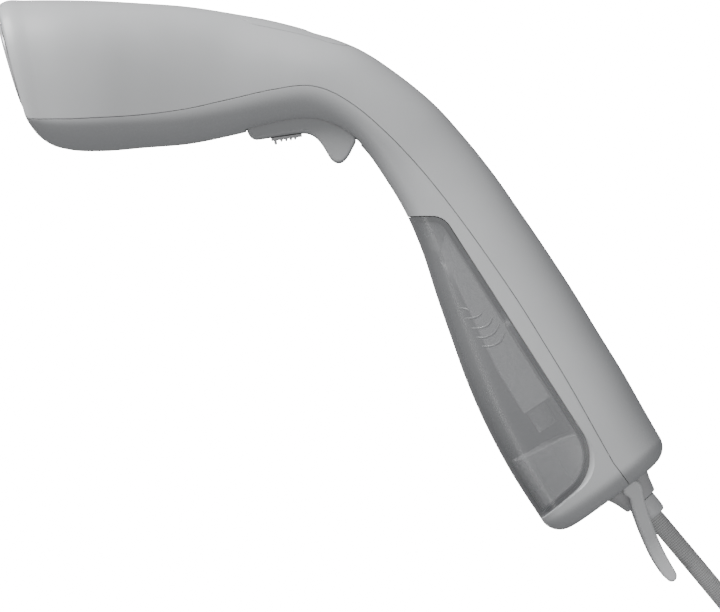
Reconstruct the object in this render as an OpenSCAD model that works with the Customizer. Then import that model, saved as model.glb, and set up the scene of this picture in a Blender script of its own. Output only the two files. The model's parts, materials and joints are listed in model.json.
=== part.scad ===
// Handheld garment steamer, lying on its side.
// X runs from the steam plate to the cord, Y from the base to the head's back, Z up from the surface.

/* [Body] */
// Width of the head, across the steam plate
head_w = 76; // [72:1:80]
// Width of the neck, where the hand holds it
neck_w = 43; // [41:1:45]
// Width of the base and the tank
base_w = 70; // [66:1:72]
// Wall thickness of the casing
wall = 2.2; // [2:0.1:2.4]
// Gap between the two halves of the casing
seam_gap = 0.3; // [0.2:0.05:0.4]
// Radius of the rounded edge round the base
base_edge_r = 8.5; // [8:0.1:9]

/* [Water tank] */
// Gap between the tank and its bay
tank_gap = 0.5; // [0.4:0.05:0.6]
// Wall thickness of the tank
tank_wall = 2.2; // [1.8:0.1:2.4]

/* [Steam plate] */
// Height of the plate
plate_h = 40; // [38:1:41]
// Width of the plate
plate_w = 66; // [62:1:67]

/* [Trigger] */
// Width of the trigger
trigger_w = 16; // [14:1:17]
// Radius of the trigger's hinge pin
trigger_pin_r = 1.5; // [1.4:0.05:1.6]

/* [Cord] */
// Diameter of the braided cord
cord_d = 8; // [7.8:0.1:8]
// Length from the strain relief to the coil
lead_length = 112; // [112:1:116]
// Radius of the coil's outermost turn
coil_outer_turn = 58; // [57:1:58]
// Turns beside each other in one layer of the coil
coil_columns = 4; // [4:1:4]
// Layers of turns in the coil
coil_layers = 2; // [2:1:2]

/* [Plug] */
// Radius of each plug pin
plug_pin_r = 2.4; // [2.4:0.05:2.4]
// Length of each plug pin
plug_pin_length = 19; // [19:0.5:19]
// Distance between the plug pins
plug_pin_spacing = 19; // [19:0.1:19]
// Diameter of the plug body
plug_d = 36; // [34:1:37]

/* [Hidden] */
$fn = 48;
tiny = 0.01;

head_half = head_w / 2;
neck_half = neck_w / 2;
base_half = base_w / 2;
mid_z = head_half;

// Local frames: a place in the middle plane and an angle about Z
face_at = [-140.1, 96.5];
face_angle = 16.4;
grip_at = [49.1, 25.6];
grip_angle = -57.45;
panel_at = [-18, 113.4];
panel_angle = -15.9;
gland_at = [136.4, -97.6];
gland_angle = -50;
base_angle = -52.5;

function between(a, b, t) = a + (b - a) * t;
function unit(v) = v / norm(v);
function heading(a) = [cos(a), sin(a)];
function turned(v, a) = [v.x * cos(a) - v.y * sin(a), v.x * sin(a) + v.y * cos(a)];

// ---- Outer form of the casing ----

// One row per section: back point, seam point, front point, half width, roundness of back and front
BODY_ROWS = [
  [-145.4, 119.4, -133.3, 77.5, -132.3, 73.9, head_half - 3, 3, 2.2],
  [-145.1, 122.4, -132.6, 75, -131.6, 71.2, head_half - 0.9, 3.2, 2.2],
  [-142.6, 124.2, -130.8, 73.6, -129.4, 67.7, head_half, 3.2, 2.2],
  [-134, 124.6, -125, 73.3, -124, 63.2, head_half, 3.2, 2.2],
  [-121, 124.7, -116, 73.4, -115, 60.6, head_half, 3.2, 2.2],
  [-104, 124.5, -102, 74.1, -101, 60.1, between(head_half, neck_half, 0.12), 3, 2.2],
  [-85, 123.6, -85, 75.3, -83, 61.5, between(head_half, neck_half, 0.4), 2.8, 2.2],
  [-65, 122.2, -66, 77.9, -64, 63.1, between(head_half, neck_half, 0.7), 2.6, 2.2],
  [-45, 119.2, -46.5, 82.3, -45, 66.9, between(head_half, neck_half, 0.92), 2.4, 2.2],
  [-26, 115.6, -28, 86.5, -29, 70.8, neck_half, 2.3, 2.2],
  [-8, 110.5, -13, 88.3, -16, 73, neck_half, 2.3, 2.2],
  [9, 104, -2.5, 85.6, -6, 72.1, neck_half, 2.3, 2.2],
  [25, 93.7, 9.5, 78.2, 4, 67.4, neck_half, 2.3, 2.2],
  [40.5, 81.1, 21.5, 67.7, 12, 60, neck_half, 2.3, 2.2],
  [54, 66.4, 33.5, 55.2, 20.3, 48.2, neck_half, 2.3, 2.3],
  [66.5, 50.8, 45, 41.3, 28.5, 34.6, between(neck_half, base_half, 0.1), 2.3, 2.4],
  [78, 34.4, 56.5, 26, 36, 17.4, between(neck_half, base_half, 0.26), 2.3, 2.5],
  [89, 18.3, 67.5, 10.4, 42.4, -2.3, between(neck_half, base_half, 0.43), 2.3, 2.6],
  [100, 1.5, 78, -5.2, 48.6, -20.2, between(neck_half, base_half, 0.6), 2.3, 2.7],
  [111.5, -17.3, 89, -23, 55.5, -39.3, between(neck_half, base_half, 0.78), 2.4, 2.8],
  [122.5, -35.2, 99, -39.6, 64, -58.6, between(neck_half, base_half, 0.92), 2.5, 2.9],
  [131, -50.3, 108.5, -56.5, 75, -79, base_half, 2.6, 3],
  [137.5, -61.7, 119.2, -75.6, 88, -99.2, base_half, 2.8, 3]
];
last_row = len(BODY_ROWS) - 1;

function back_of(row) = [row[0], row[1]];
function seam_of(row) = [row[2], row[3]];
function front_of(row) = [row[4], row[5]];

// Smooth rows between the ones above, by Hermite curves over their spacing
function row_gap(i) = (norm(back_of(BODY_ROWS[i + 1] - BODY_ROWS[i]))
  + norm(front_of(BODY_ROWS[i + 1] - BODY_ROWS[i]))) / 2;
function row_slope(i) = (BODY_ROWS[i + 1] - BODY_ROWS[i]) / row_gap(i);
function row_tangent(i) =
  i == 0 ? row_slope(0)
  : i == last_row ? row_slope(i - 1)
  : (row_slope(i - 1) * row_gap(i) + row_slope(i) * row_gap(i - 1)) / (row_gap(i) + row_gap(i - 1));
function row_at(i, t) =
  let (h = row_gap(i), a = BODY_ROWS[i], b = BODY_ROWS[i + 1])
  a * (2 * pow(t, 3) - 3 * t * t + 1) + b * (3 * t * t - 2 * pow(t, 3))
  + row_tangent(i) * h * (pow(t, 3) - 2 * t * t + t) + row_tangent(i + 1) * h * (pow(t, 3) - t * t);
function smooth_rows(first, last, pitch) = concat(
  [for (i = [first:last - 1]) let (n = max(1, round(row_gap(i) / pitch)))
    for (k = [0:n - 1]) row_at(i, k / n)],
  [BODY_ROWS[last]]
);

// The rounded edge of the base: rows that step towards the base plane and draw in
function base_row(row, a) =
  let (
    out = heading(base_angle) * base_edge_r * sin(a),
    in = base_edge_r * (1 - cos(a)),
    back = back_of(row),
    front = front_of(row),
    seam = seam_of(row),
    across = unit(back - front)
  )
  [
    back.x + out.x - across.x * in, back.y + out.y - across.y * in,
    seam.x + out.x, seam.y + out.y,
    front.x + out.x + across.x * in, front.y + out.y + across.y * in,
    row[6] - in, row[7], row[8]
  ];
base_steps = [22.5, 45, 67.5, 90];

// The same row with the wall taken off it
function inset_row(row, d) =
  let (
    back = back_of(row) - unit(back_of(row) - seam_of(row)) * d,
    front = front_of(row) - unit(front_of(row) - seam_of(row)) * d
  )
  [back.x, back.y, row[2], row[3], front.x, front.y, row[6] - d, row[7], row[8]];
function moved_row(row, v) =
  [row[0] + v.x, row[1] + v.y, row[2] + v.x, row[3] + v.y, row[4] + v.x, row[5] + v.y,
    row[6], row[7], row[8]];

// A quarter of a rounded section: how wide and how deep at each angle
function quarter(n, a) =
  let (r = pow(pow(abs(cos(a)), n) + pow(abs(sin(a)), n), -1 / n))
  [r * cos(a), r * sin(a)];
function section_half(row, back_n, front_n) = concat(
  [for (k = [0:back_n])
    let (q = quarter(row[7], 90 * (1 - k / back_n)), p = between(seam_of(row), back_of(row), q.y))
    [p.x, p.y, row[6] * q.x]],
  [for (k = [1:front_n])
    let (q = quarter(row[8], 90 * k / front_n), p = between(seam_of(row), front_of(row), q.y))
    [p.x, p.y, row[6] * q.x]]
);
function section_loop(half) = concat(
  [for (p = half) [p.x, p.y, mid_z + p.z]],
  [for (k = [len(half) - 2:-1:1]) [half[k].x, half[k].y, mid_z - half[k].z]]
);

// A closed solid through rows of sections, flat at both ends
module lofted(rows, back_n, front_n) {
  m = back_n + front_n;
  n = 2 * m;
  count = len(rows);
  points = [for (row = rows) each section_loop(section_half(row, back_n, front_n))];
  sides = [for (i = [0:count - 2]) for (k = [0:n - 1]) let (a = i * n + k, b = i * n + (k + 1) % n)
    each [[a, b + n, b], [a, a + n, b + n]]];
  cap = concat(
    [[0, 1, n - 1], [m - 1, m, m + 1]],
    [for (k = [1:m - 2]) each [[k, n - k - 1, n - k], [k, k + 1, n - k - 1]]]
  );
  far_cap = [for (f = cap) [for (k = [2:-1:0]) f[k] + (count - 1) * n]];
  polyhedron(points = points, faces = concat(sides, cap, far_cap), convexity = 6);
}

// The whole outer form, and the form of its hollow at a depth under the surface
module body_form(pitch = 8) {
  end = BODY_ROWS[last_row];
  lofted(concat(smooth_rows(0, last_row, pitch), [for (a = base_steps) base_row(end, a)]), 9, 7);
}
module body_hollow(depth, pitch = 11) {
  end = moved_row(BODY_ROWS[last_row], heading(base_angle) * (base_edge_r - depth - 3));
  rows = concat(smooth_rows(2, last_row, pitch), [end]);
  lofted([for (row = rows) inset_row(row, depth)], 8, 6);
}

// A solid slab over an outline in the middle plane, as wide as the steamer
module slab(width = 2 * head_w) {
  translate([0, 0, mid_z - width / 2]) linear_extrude(width) children();
}
// Joins curved panels into one surface, at their own size
module one_surface() {
  resize([0, 0, 0]) children();
}

module in_frame(at, angle) {
  translate([at.x, at.y, mid_z]) rotate([0, 0, angle]) children();
}
module in_head() {
  in_frame(face_at, face_angle) children();
}
module in_grip() {
  in_frame(grip_at, grip_angle) children();
}
module in_panel() {
  in_frame(panel_at, panel_angle) children();
}
// Along the cord's way out: local Z points outwards
module in_gland() {
  in_frame(gland_at, gland_angle) rotate([0, 90, 0]) children();
}
// A slab with its outline in the local Y-Z plane, from x = a to x = b
module slice_x(a, b) {
  translate([a, 0, 0]) rotate([90, 0, 90]) linear_extrude(b - a) children();
}
module rod_x(r, a, b, at = [0, 0]) {
  translate([a, at.x, at.y]) rotate([0, 90, 0]) cylinder(r = r, h = b - a);
}
module rod_y(r, a, b, at = [0, 0]) {
  translate([at.x, a, at.y]) rotate([-90, 0, 0]) cylinder(r = r, h = b - a);
}
module rod_z(r, width, at = [0, 0], z = mid_z) {
  translate([at.x, at.y, z - width / 2]) cylinder(r = r, h = width);
}
module box(low, high) {
  translate(low) cube(high - low);
}
// Points of a round corner at p between its neighbours a and b
function round_corner(a, p, b, r, n = 8) =
  let (
    u = unit(a - p), v = unit(b - p),
    half = acos(u * v) / 2,
    centre = p + unit(u + v) * r / sin(half),
    from = p + u * r / tan(half) - centre,
    to = p + v * r / tan(half) - centre,
    sweep = (180 - 2 * half) * sign(cross(from, to))
  )
  [for (k = [0:n]) centre + turned(from, sweep * k / n)];

// A tube along a path of points, with its rings square to a reference direction
module tube(path, r, sides = 8, ref = [0, 0, 1]) {
  last = len(path) - 1;
  points = [for (i = [0:last]) let (
      t = unit(path[min(i + 1, last)] - path[max(i - 1, 0)]),
      a = unit(cross(t, ref)),
      b = cross(t, a)
    ) for (k = [0:sides - 1]) path[i] + (a * cos(360 * k / sides) + b * sin(360 * k / sides)) * r];
  skin = [for (i = [0:last - 1]) for (k = [0:sides - 1])
    let (p = i * sides + k, q = i * sides + (k + 1) % sides)
    each [[p, q + sides, q], [p, p + sides, q + sides]]];
  start = [[for (k = [0:sides - 1]) k]];
  finish = [[for (k = [sides - 1:-1:0]) last * sides + k]];
  polyhedron(points = points, faces = concat(skin, start, finish), convexity = 6);
}
// Smooth points through a route
function curve_point(a, b, c, d, t) =
  (2 * b + (c - a) * t + (2 * a - 5 * b + 4 * c - d) * t * t + (3 * b - a - 3 * c + d) * pow(t, 3)) / 2;
function smooth_path(p, steps) = concat(
  [for (i = [0:len(p) - 2]) for (k = [0:steps - 1])
    curve_point(p[max(i - 1, 0)], p[i], p[i + 1], p[min(i + 2, len(p) - 1)], k / steps)],
  [p[len(p) - 1]]
);
// A place in the grip's frame, in the steamer's own frame
function from_grip(p) = let (q = grip_at + turned([p.x, p.y], grip_angle)) [q.x, q.y, mid_z + p.z];

// ---- Outlines in the middle plane ----

// The parting line runs just in front of the casing's widest line
seam_points = [
  for (row = smooth_rows(4, last_row, 12)) seam_of(row) + unit(front_of(row) - seam_of(row)) * 0.9
];
seam_line = concat(
  [[-160, 72.6], [-125, 72.5]],
  [for (i = [1:len(seam_points) - 1]) seam_points[i - 1] * 0.57 + seam_points[i] * 0.43],
  [[124.4, -83.2], [132, -93.2]]
);
module back_side() {
  polygon(concat(seam_line, [[190, -92.7], [190, 150], [-160, 150]]));
}

tank_top = 31.9;
tank_outline = concat(
  [[0, tank_top]],
  round_corner([0, tank_top], [45.1, tank_top], [112.8, -74.2], 9.5, 6),
  round_corner([45.1, tank_top], [112.8, -74.2], [78, -105.9], 20, 10),
  [[78, -105.9]]
);
module tank_side(shrink = 0) {
  offset(delta = -shrink) polygon(tank_outline);
}

// Rounded outline of the steam plate, wider than it is high; x runs up the face
module plate_outline(grow = 0) {
  translate([-1, 0]) polygon([for (k = [0:63]) let (q = quarter(2.8, 360 * k / 64))
    [q.y * (plate_h / 2 + grow), q.x * (plate_w / 2 + grow)]]);
}

// ---- Casing ----

gland_hole_r = 7.2;
trigger_slot = [[-39.6, 50], [-39.6, 78], [4, 78], [9.8, 72], [9.8, 50]];
bracket_pocket = [[-37.5, 72.95], [-37.5, 80], [-3, 80], [-3, 76.5], [-28.2, 76.5], [-28.6, 72.95]];
screw_at = [[4, 15], [96, 24]];
boss_top = 30;

// Round posts that the casing screws go into, in the grip's frame
module screw_posts(r, from_y, to_y) {
  in_grip() for (s = screw_at) for (side = [-1, 1]) rod_y(r, from_y, to_y, [s.x, side * s.y]);
}
module gland_hole() {
  in_gland() {
    translate([0, 0, -40]) cylinder(r = gland_hole_r, h = 36);
    translate([0, 0, -34]) cylinder(r = 9.6, h = 9);
    translate([0, 0, -19.1]) cylinder(r = 11.4, h = 12);
  }
  rod_z(4.9, 2 * arm_z[1] + 0.8, bail_pivot);
}
module face_opening() {
  in_head() slice_x(-6, 14) plate_outline(1.7);
}
panel_length = 54;
panel_width = 23.6;
module panel_outline(shrink = 0) {
  hull() for (side = [-1, 1]) translate([side * (panel_length - panel_width) / 2, 0])
    circle(r = panel_width / 2 - shrink);
}
module panel_block(shrink, from_y, to_y) {
  in_panel() translate([0, from_y, 0]) rotate([-90, 0, 0]) linear_extrude(to_y - from_y) panel_outline(shrink);
}

module upper_shell() {
  color("silver") one_surface() difference() {
    union() {
      intersection() {
        difference() {
          body_form();
          body_hollow(wall);
        }
        slab() back_side();
      }
      intersection() {
        screw_posts(3.4, 6.4, boss_top);
        body_hollow(wall / 2);
      }
    }
    face_opening();
    panel_block(-0.25, -12, 12);
    gland_hole();
    screw_posts(1.25, 5, 17);
  }
}

bay_wall = 2;
module lower_shell() {
  color("darkgray") one_surface() difference() {
    union() {
      intersection() {
        body_form();
        slab() offset(delta = -seam_gap) difference() {
          square(400, center = true);
          back_side();
        }
        union() {
          difference() {
            slab() square(420, center = true);
            body_hollow(wall);
          }
          slab() difference() {
            offset(delta = bay_wall) polygon(tank_outline);
            translate([-100, tank_top - 0.6]) square([400, 100]);
          }
        }
      }
      intersection() {
        body_hollow(wall / 2);
        screw_posts(4.4, 0.5, 6);
      }
    }
    slab() polygon(tank_outline);
    slab(trigger_w + 1.2) polygon(trigger_slot);
    slab(20.7) polygon(bracket_pocket);
    face_opening();
    gland_hole();
    screw_posts(3.1, -1, 2.6);
    screw_posts(1.7, -1, 8);
    in_grip() rod_y(3.8, -1, 4, [14, 0]);
  }
}

module shell_screws() {
  color("dimgray") in_grip() for (s = screw_at) for (side = [-1, 1]) {
    rod_y(2.8, 0.7, 2.6, [s.x, side * s.y]);
    rod_y(1.4, 2.6 - tiny, 15.5, [s.x, side * s.y]);
  }
}

// ---- Head ----

steam_holes = concat(
  [for (k = [-2:2]) [11 - 1.2 * k * k, 10.5 * k]],
  [for (k = [-2:2]) [-12 + 1.2 * k * k, 10.5 * k]],
  [for (k = [-1:1]) [-0.5, 16 * k]]
);
module steam_plate() {
  color("gainsboro") in_head() difference() {
    union() {
      slice_x(0, 3) plate_outline();
      slice_x(3 - tiny, 4.5) plate_outline(-3);
    }
    for (h = steam_holes) rod_x(1.3, -1, 6, h);
  }
}
module plate_gasket() {
  color("black") in_head() difference() {
    slice_x(1.4, 3.6) plate_outline(1.5);
    slice_x(1, 4) plate_outline(0.1);
  }
}
element_r = 3.2;
module element_path(r) {
  translate([15.5, 0, 0]) {
    rotate([0, -90, 0]) rotate_extrude(angle = 180) translate([12, 0]) circle(r = r);
    for (side = [-1, 1]) translate([0, 0, side * 12]) rotate([90, 0, 0]) cylinder(r = r, h = 9);
  }
}
chamber_screw_at = [[9, 22], [-11, 22], [9, -22], [-11, -22]];
module steam_chamber() {
  color("lightgray") in_head() difference() {
    slice_x(4.6, 22) plate_outline(-4);
    slice_x(8, 11) plate_outline(-8);
    element_path(element_r + 0.05);
    box([12.2, -12.6, 8.7], [23, -8, 15.3]);
    box([12.2, -12.6, -15.3], [23, -8, -8.7]);
    for (s = chamber_screw_at) rod_x(1.5, 12, 23, s);
  }
}
module chamber_cover() {
  color("silver") in_head() difference() {
    slice_x(22.1, 24.6) plate_outline(-4.5);
    for (s = chamber_screw_at) rod_x(1.7, 20, 26, s);
    rod_x(2.6, 20, 26, [6, 0]);
    box([20, -12.6, 8.7], [26, -8, 15.3]);
    box([20, -12.6, -15.3], [26, -8, -8.7]);
  }
}
module chamber_screws() {
  color("dimgray") in_head() for (s = chamber_screw_at) {
    rod_x(1.45, 14, 24.7, s);
    rod_x(2.8, 24.7 - tiny, 26.6, s);
  }
}
module heating_element() {
  color("dimgray") in_head() {
    element_path(element_r);
    for (side = [-1, 1]) rod_x(1.6, 15.5, 29, [-10.3, side * 12]);
  }
}
module thermostat() {
  color("white") in_head() {
    rod_x(8, 24.7, 29.5, [-4, 0]);
    for (side = [-1, 1]) box([29.4, -6, side * 4 - 0.4], [34, -1, side * 4 + 0.4]);
  }
}
module thermal_fuse() {
  color("goldenrod") in_head() {
    translate([27, 14.5, 0]) cylinder(r = 2, h = 12, center = true);
    translate([27, 14.5, 0]) cylinder(r = 0.5, h = 24, center = true);
  }
}
module heat_shield() {
  color("ivory") in_head() difference() {
    slice_x(8, 20) plate_outline(-1.2);
    slice_x(7, 21) plate_outline(-2.4);
  }
}

// ---- Control panel ----

button_at = [9, 0];
lens_at = -14;
module control_panel() {
  color("gray") one_surface() difference() {
    intersection() {
      difference() {
        body_form();
        body_hollow(1.8);
      }
      panel_block(0, -9, 12);
    }
    in_panel() rod_y(6.3, -12, 12, button_at);
    in_panel() rod_y(1.7, -12, 12, [lens_at, 0]);
  }
}
module power_button() {
  color("lightgray") in_panel() {
    rod_y(6, -4.2, 0.8, button_at);
    rod_y(7.4, -5.4, -4.2 + tiny, button_at);
  }
}
module indicator_lens() {
  color("white") in_panel() rod_y(1.6, -6, 0.6, [lens_at, 0]);
}
module button_board() {
  color("darkgreen") in_panel() {
    box([-22, -11, -8], [22, -9.4, 8]);
    box([6, -9.4 - tiny, -3], [12, -7.2, 3]);
    box([lens_at - 1.5, -9.4 - tiny, -1.5], [lens_at + 1.5, -6.3, 1.5]);
  }
}

// ---- Trigger ----

trigger_pivot = [-33, 74.6];
trigger_profile = [
  [-39, 68.5], [-37.4, 66], [-34.9, 64.95], [-15.5, 67.75], [-11.4, 66.9], [-8.3, 64.9],
  [-5.7, 61.4], [-3.5, 57.5], [-1.8, 55.7], [0.2, 54.9], [2.2, 55.5], [4.4, 57.9], [6.1, 61],
  [7.7, 64.4], [6.6, 67], [3, 71.5], [-3, 75], [-12, 76.4], [-22, 75.6], [-30, 73.4]
];
lock_angle = 8.2;
lock_start = [-28.8, 65.6];
module in_lock() {
  in_frame(lock_start, lock_angle) children();
}
module trigger() {
  color("gray") difference() {
    union() {
      slab(trigger_w) polygon(trigger_profile);
      rod_z(3.1, 10, trigger_pivot);
      slab(10) polygon([[-36, 70], [-36, 74.6], [-30, 74.6], [-30, 70]]);
    }
    rod_z(trigger_pin_r + 0.05, 20, trigger_pivot);
    in_lock() box([-3.4, -1, -1.8], [5, 20, 1.8]);
    rod_z(4.6, 3.6, trigger_pivot);
  }
}
lock_teeth = [[4.3, 1], [6.4, 1], [8.4, 1], [10.3, 1]];
module trigger_lock() {
  color("dimgray") in_lock() {
    box([0, -1.1, -5], [13, -0.3, 5]);
    box([1, -2.9, -5], [2.3, -1.1 + tiny, 5]);
    for (t = lock_teeth) box([t[0] - 0.5, -1.1 - t[1], -4.6], [t[0] + 0.5, -1.1 + tiny, 4.6]);
    box([1.5, -0.3 - tiny, -1.5], [4.5, 3, 1.5]);
  }
}
module trigger_pin() {
  color("silver") rod_z(trigger_pin_r, 20, trigger_pivot);
}
spring_turns = 3;
spring_r = 2.5;
module trigger_spring() {
  coil = [for (k = [0:12 * spring_turns]) [
      trigger_pivot.x + spring_r * cos(30 * k), trigger_pivot.y + spring_r * sin(30 * k),
      mid_z - 1.2 + 2.4 * k / (12 * spring_turns)
    ]];
  leg = coil[len(coil) - 1];
  color("silver") tube(concat([coil[0] + [0.2, -2, 0]], coil, [leg + [0, 3, 0.1], leg + [4, 6, 0.1]]), 0.35, 6);
}
module trigger_bracket() {
  cheek = [[-37, 73.1], [-37, 84], [-4, 84], [-4, 79.5], [-28, 78], [-29, 73.1]];
  color("ivory") difference() {
    union() {
      for (side = [-1, 1]) translate([0, 0, side * 9.2]) slab(1.6) polygon(cheek);
      slab(20) polygon([[-37, 84 - tiny], [-37, 85.6], [-4, 85.6], [-4, 84 - tiny]]);
    }
    rod_z(trigger_pin_r + 0.02, 30, trigger_pivot);
  }
}
module micro_switch() {
  color("black") difference() {
    slab(6.4) polygon([[-25, 80.2], [-25, 83.9], [-6, 83.9], [-6, 80.2]]);
    translate([-15, 76, mid_z]) rotate([-90, 0, 0]) cylinder(r = 1.3, h = 6.6);
  }
}
module switch_plunger() {
  color("red") translate([-15, 76.9, mid_z]) rotate([-90, 0, 0]) cylinder(r = 1.2, h = 3.9);
}

// ---- Water tank ----

cap_u = 52;
valve_u = 14;
valve_r = 6.6;
tank_back = -tank_gap;
module water_tank() {
  color("slategray", 0.6) one_surface() difference() {
    union() {
      difference() {
        intersection() {
          body_form();
          slab() tank_side(tank_gap);
        }
        intersection() {
          body_hollow(tank_wall);
          slab() tank_side(tank_gap + tank_wall);
        }
      }
      in_grip() rod_y(13.6, tank_back - 9, tank_back - 1, [cap_u, 0]);
    }
    in_grip() {
      rod_y(11.6, tank_back - 4, 4, [cap_u, 0]);
      rod_y(8.8, tank_back - 12, 4, [cap_u, 0]);
      rod_y(valve_r + 0.1, tank_back - 4, 4, [valve_u, 0]);
    }
  }
}
// The moulded end of the tank, under a curved floor line
floor_line = [[60, -80], [73, -74], [79, -71.5], [83.8, -69.2],
  [88.9, -66.2], [95, -63.2], [104, -60], [118, -56]];
module below_floor(drop) {
  polygon(concat(
    [for (p = floor_line) [p.x + drop * 0.45, p.y - drop * 0.9]],
    [[118, -130], [60, -130]]
  ));
}
module tank_floor() {
  color("dimgray") one_surface() difference() {
    intersection() {
      body_hollow(tank_wall + 0.4);
      slab() intersection() {
        tank_side(tank_gap + tank_wall + 0.4);
        below_floor(0);
      }
    }
    intersection() {
      body_hollow(tank_wall + 2.2);
      slab() intersection() {
        tank_side(tank_gap + tank_wall - 1);
        below_floor(2);
      }
    }
  }
}
module tank_cap() {
  color("dimgray") in_grip() {
    rod_y(11.1, tank_back - 3.2, tank_back - 1.4, [cap_u, 0]);
    rod_y(8.3, tank_back - 8.5, tank_back - 3.2 + tiny, [cap_u, 0]);
    translate([cap_u, 0, 0]) box([-9, tank_back - 1.4 - tiny, -1.5], [9, tank_back - 0.1, 1.5]);
  }
}
module cap_seal() {
  color("black") in_grip() difference() {
    rod_y(11.1, tank_back - 3.95, tank_back - 3.25, [cap_u, 0]);
    rod_y(8.5, tank_back - 5, tank_back - 1, [cap_u, 0]);
  }
}
// The valve, the block in the tip of the tank and the channel that hides the pipe, open at its back
pipe_y = -10.5;
tip_block = [[35.2, 28.8], [40.5, 28.8], [44, 26.7], [46, 24.3], [44.4, 16.9], [40.2, 16.9]];
channel = [[-1, -3.2], [82, -3.2], [82.3, -16.2], [62, -15.9], [4.7, -9]];
channel_inside = [[0.8, -2], [80.8, -2], [81.1, -14.95], [62.1, -14.7], [5.3, -7.9]];
module tank_valve() {
  color("gray") difference() {
    union() {
      difference() {
        in_grip() translate([0, 0, -15.2]) linear_extrude(30.4) polygon(channel);
        in_grip() translate([0, 0, -14]) linear_extrude(28) polygon(channel_inside);
      }
      slab(14) polygon(tip_block);
      in_grip() rod_y(valve_r, tank_back - 11, tank_back - 0.2, [valve_u, 0]);
    }
    in_grip() {
      rod_y(3.1, tank_back - 8, 4, [valve_u, 0]);
      rod_x(1.2, valve_u, valve_u + 9, [-7, 0]);
      rod_x(2.05, 78, 85, [pipe_y, 0]);
    }
  }
}
module pickup_tube() {
  color("lightgray") in_grip() difference() {
    rod_x(2, 76, 90, [pipe_y, 0]);
    rod_x(1.1, 75, 91, [pipe_y, 0]);
  }
}
module intake_filter() {
  color("white") in_grip() translate([0, pipe_y, 0]) difference() {
    rod_x(4.6, 83.2, 93);
    rod_x(2.05, 82, 90.1);
  }
}
module dock_nozzle() {
  color("gray") in_grip() difference() {
    union() {
      rod_y(2.9, -6.5, 2.2, [valve_u, 0]);
      rod_y(5.6, 2.1, 3.9, [valve_u, 0]);
      rod_y(1.9, 3.8, 9.5, [valve_u, 0]);
    }
    rod_y(1, -7, 10, [valve_u, 0]);
  }
}
module dock_seal() {
  color("black") in_grip() difference() {
    rod_y(3.7, 0.2, 2, [valve_u, 0]);
    rod_y(2.95, -1, 3, [valve_u, 0]);
  }
}

// ---- Pump and pipes ----

pump_y = 14.4;
pump_u = [34, 74];
module inlet_hose() {
  route = [[14, 9.6, 0], [14.6, 12, 0], [17.5, 14, 0], [22, pump_y, 0], [28.6, pump_y, 0]];
  color("lightyellow") tube(smooth_path([for (p = route) from_grip(p)], 3), 2.6);
}
module pump_body() {
  color("black") in_grip() difference() {
    union() {
      rod_x(10, pump_u[0], pump_u[1], [pump_y, 0]);
      rod_x(2.2, pump_u[0] - 5, pump_u[0] + 1, [pump_y, 0]);
      rod_x(2.2, pump_u[1] - 1, pump_u[1] + 4, [pump_y, 0]);
    }
    rod_x(5, pump_u[0] + 6, pump_u[1] - 6, [pump_y, 0]);
    rod_x(1, pump_u[0] - 6, pump_u[1] + 5, [pump_y, 0]);
  }
}
module pump_plunger() {
  color("silver") in_grip() rod_x(4.94, pump_u[0] + 9, pump_u[1] - 9, [pump_y, 0]);
}
module pump_mounts() {
  color("dimgray") in_grip() for (u = [pump_u[0] + 2, pump_u[1] - 7]) difference() {
    rod_x(11.7, u, u + 5, [pump_y, 0]);
    rod_x(10.02, u - 1, u + 6, [pump_y, 0]);
  }
}
module outlet_hose() {
  grip_route = [
    [78.2, pump_y, 0], [81, pump_y, 1.5], [83, 13.5, 6], [82, 12, 12], [76, 10.5, 15.8],
    [60, 10, 16], [40, 10, 15.6], [28, 11, 13], [16, 14, 8]
  ];
  head_route = [
    [64, 28, 43], [52, 44, 39], [37, 60, 38], [20, 76, 38], [2, 88, 38], [-20, 93, 38], [-45, 94, 38],
    [-65, 99, 38], [-85, 107, 38], [-98, 111.5, 38], [-106, 111.5, 38], [-111.2, 110.5, 38]
  ];
  route = concat([for (p = grip_route) from_grip(p)], [for (p = head_route) [p.x, p.y, mid_z + p.z - 38]]);
  color("lightyellow") tube(smooth_path(route, 2), 2.5);
}

// ---- Electrics ----

board_y = 8;
module circuit_board() {
  color("darkgreen") in_grip() box([80, board_y - 1.6, -19], [106, board_y, 19]);
}
module relay() {
  color("royalblue") in_grip() box([90, board_y + 0.05, -16], [103, board_y + 13, -2]);
}
module capacitor() {
  color("goldenrod") in_grip() rod_y(5, board_y + 0.05, board_y + 12, [97, 8]);
}
module terminal_block() {
  color("white") in_grip() box([104.5, board_y + 0.05, -12], [110.5, board_y + 8, 12]);
}
module wiring() {
  for (side = [-1, 1]) {
    grip_route = [
      [107.5, 17.2, 7 * side], [105, 21.4, 8 * side], [100, 23.4, 9 * side], [80, 23.5, 10 * side],
      [60, 23.6, 10 * side], [34, 23.4, 10 * side], [16, 22.8, 9.5 * side], [0, 22, 9 * side]
    ];
    head_route = [
      [54, 55, 9], [40, 68.5, 9], [25, 80.5, 9], [8, 90.5, 9.5], [-10, 96, 11.5], [-30, 97.5, 12],
      [-55, 97, 12], [-80, 94, 11], [-98, 92, 10.5]
    ];
    route = concat(
      [for (p = grip_route) from_grip(p)],
      [for (p = head_route) [p.x, p.y, mid_z + side * p.z]]
    );
    color(side < 0 ? "brown" : "royalblue") tube(smooth_path(route, 2), 1.1, 6);
  }
}

// ---- Cord exit ----

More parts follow.
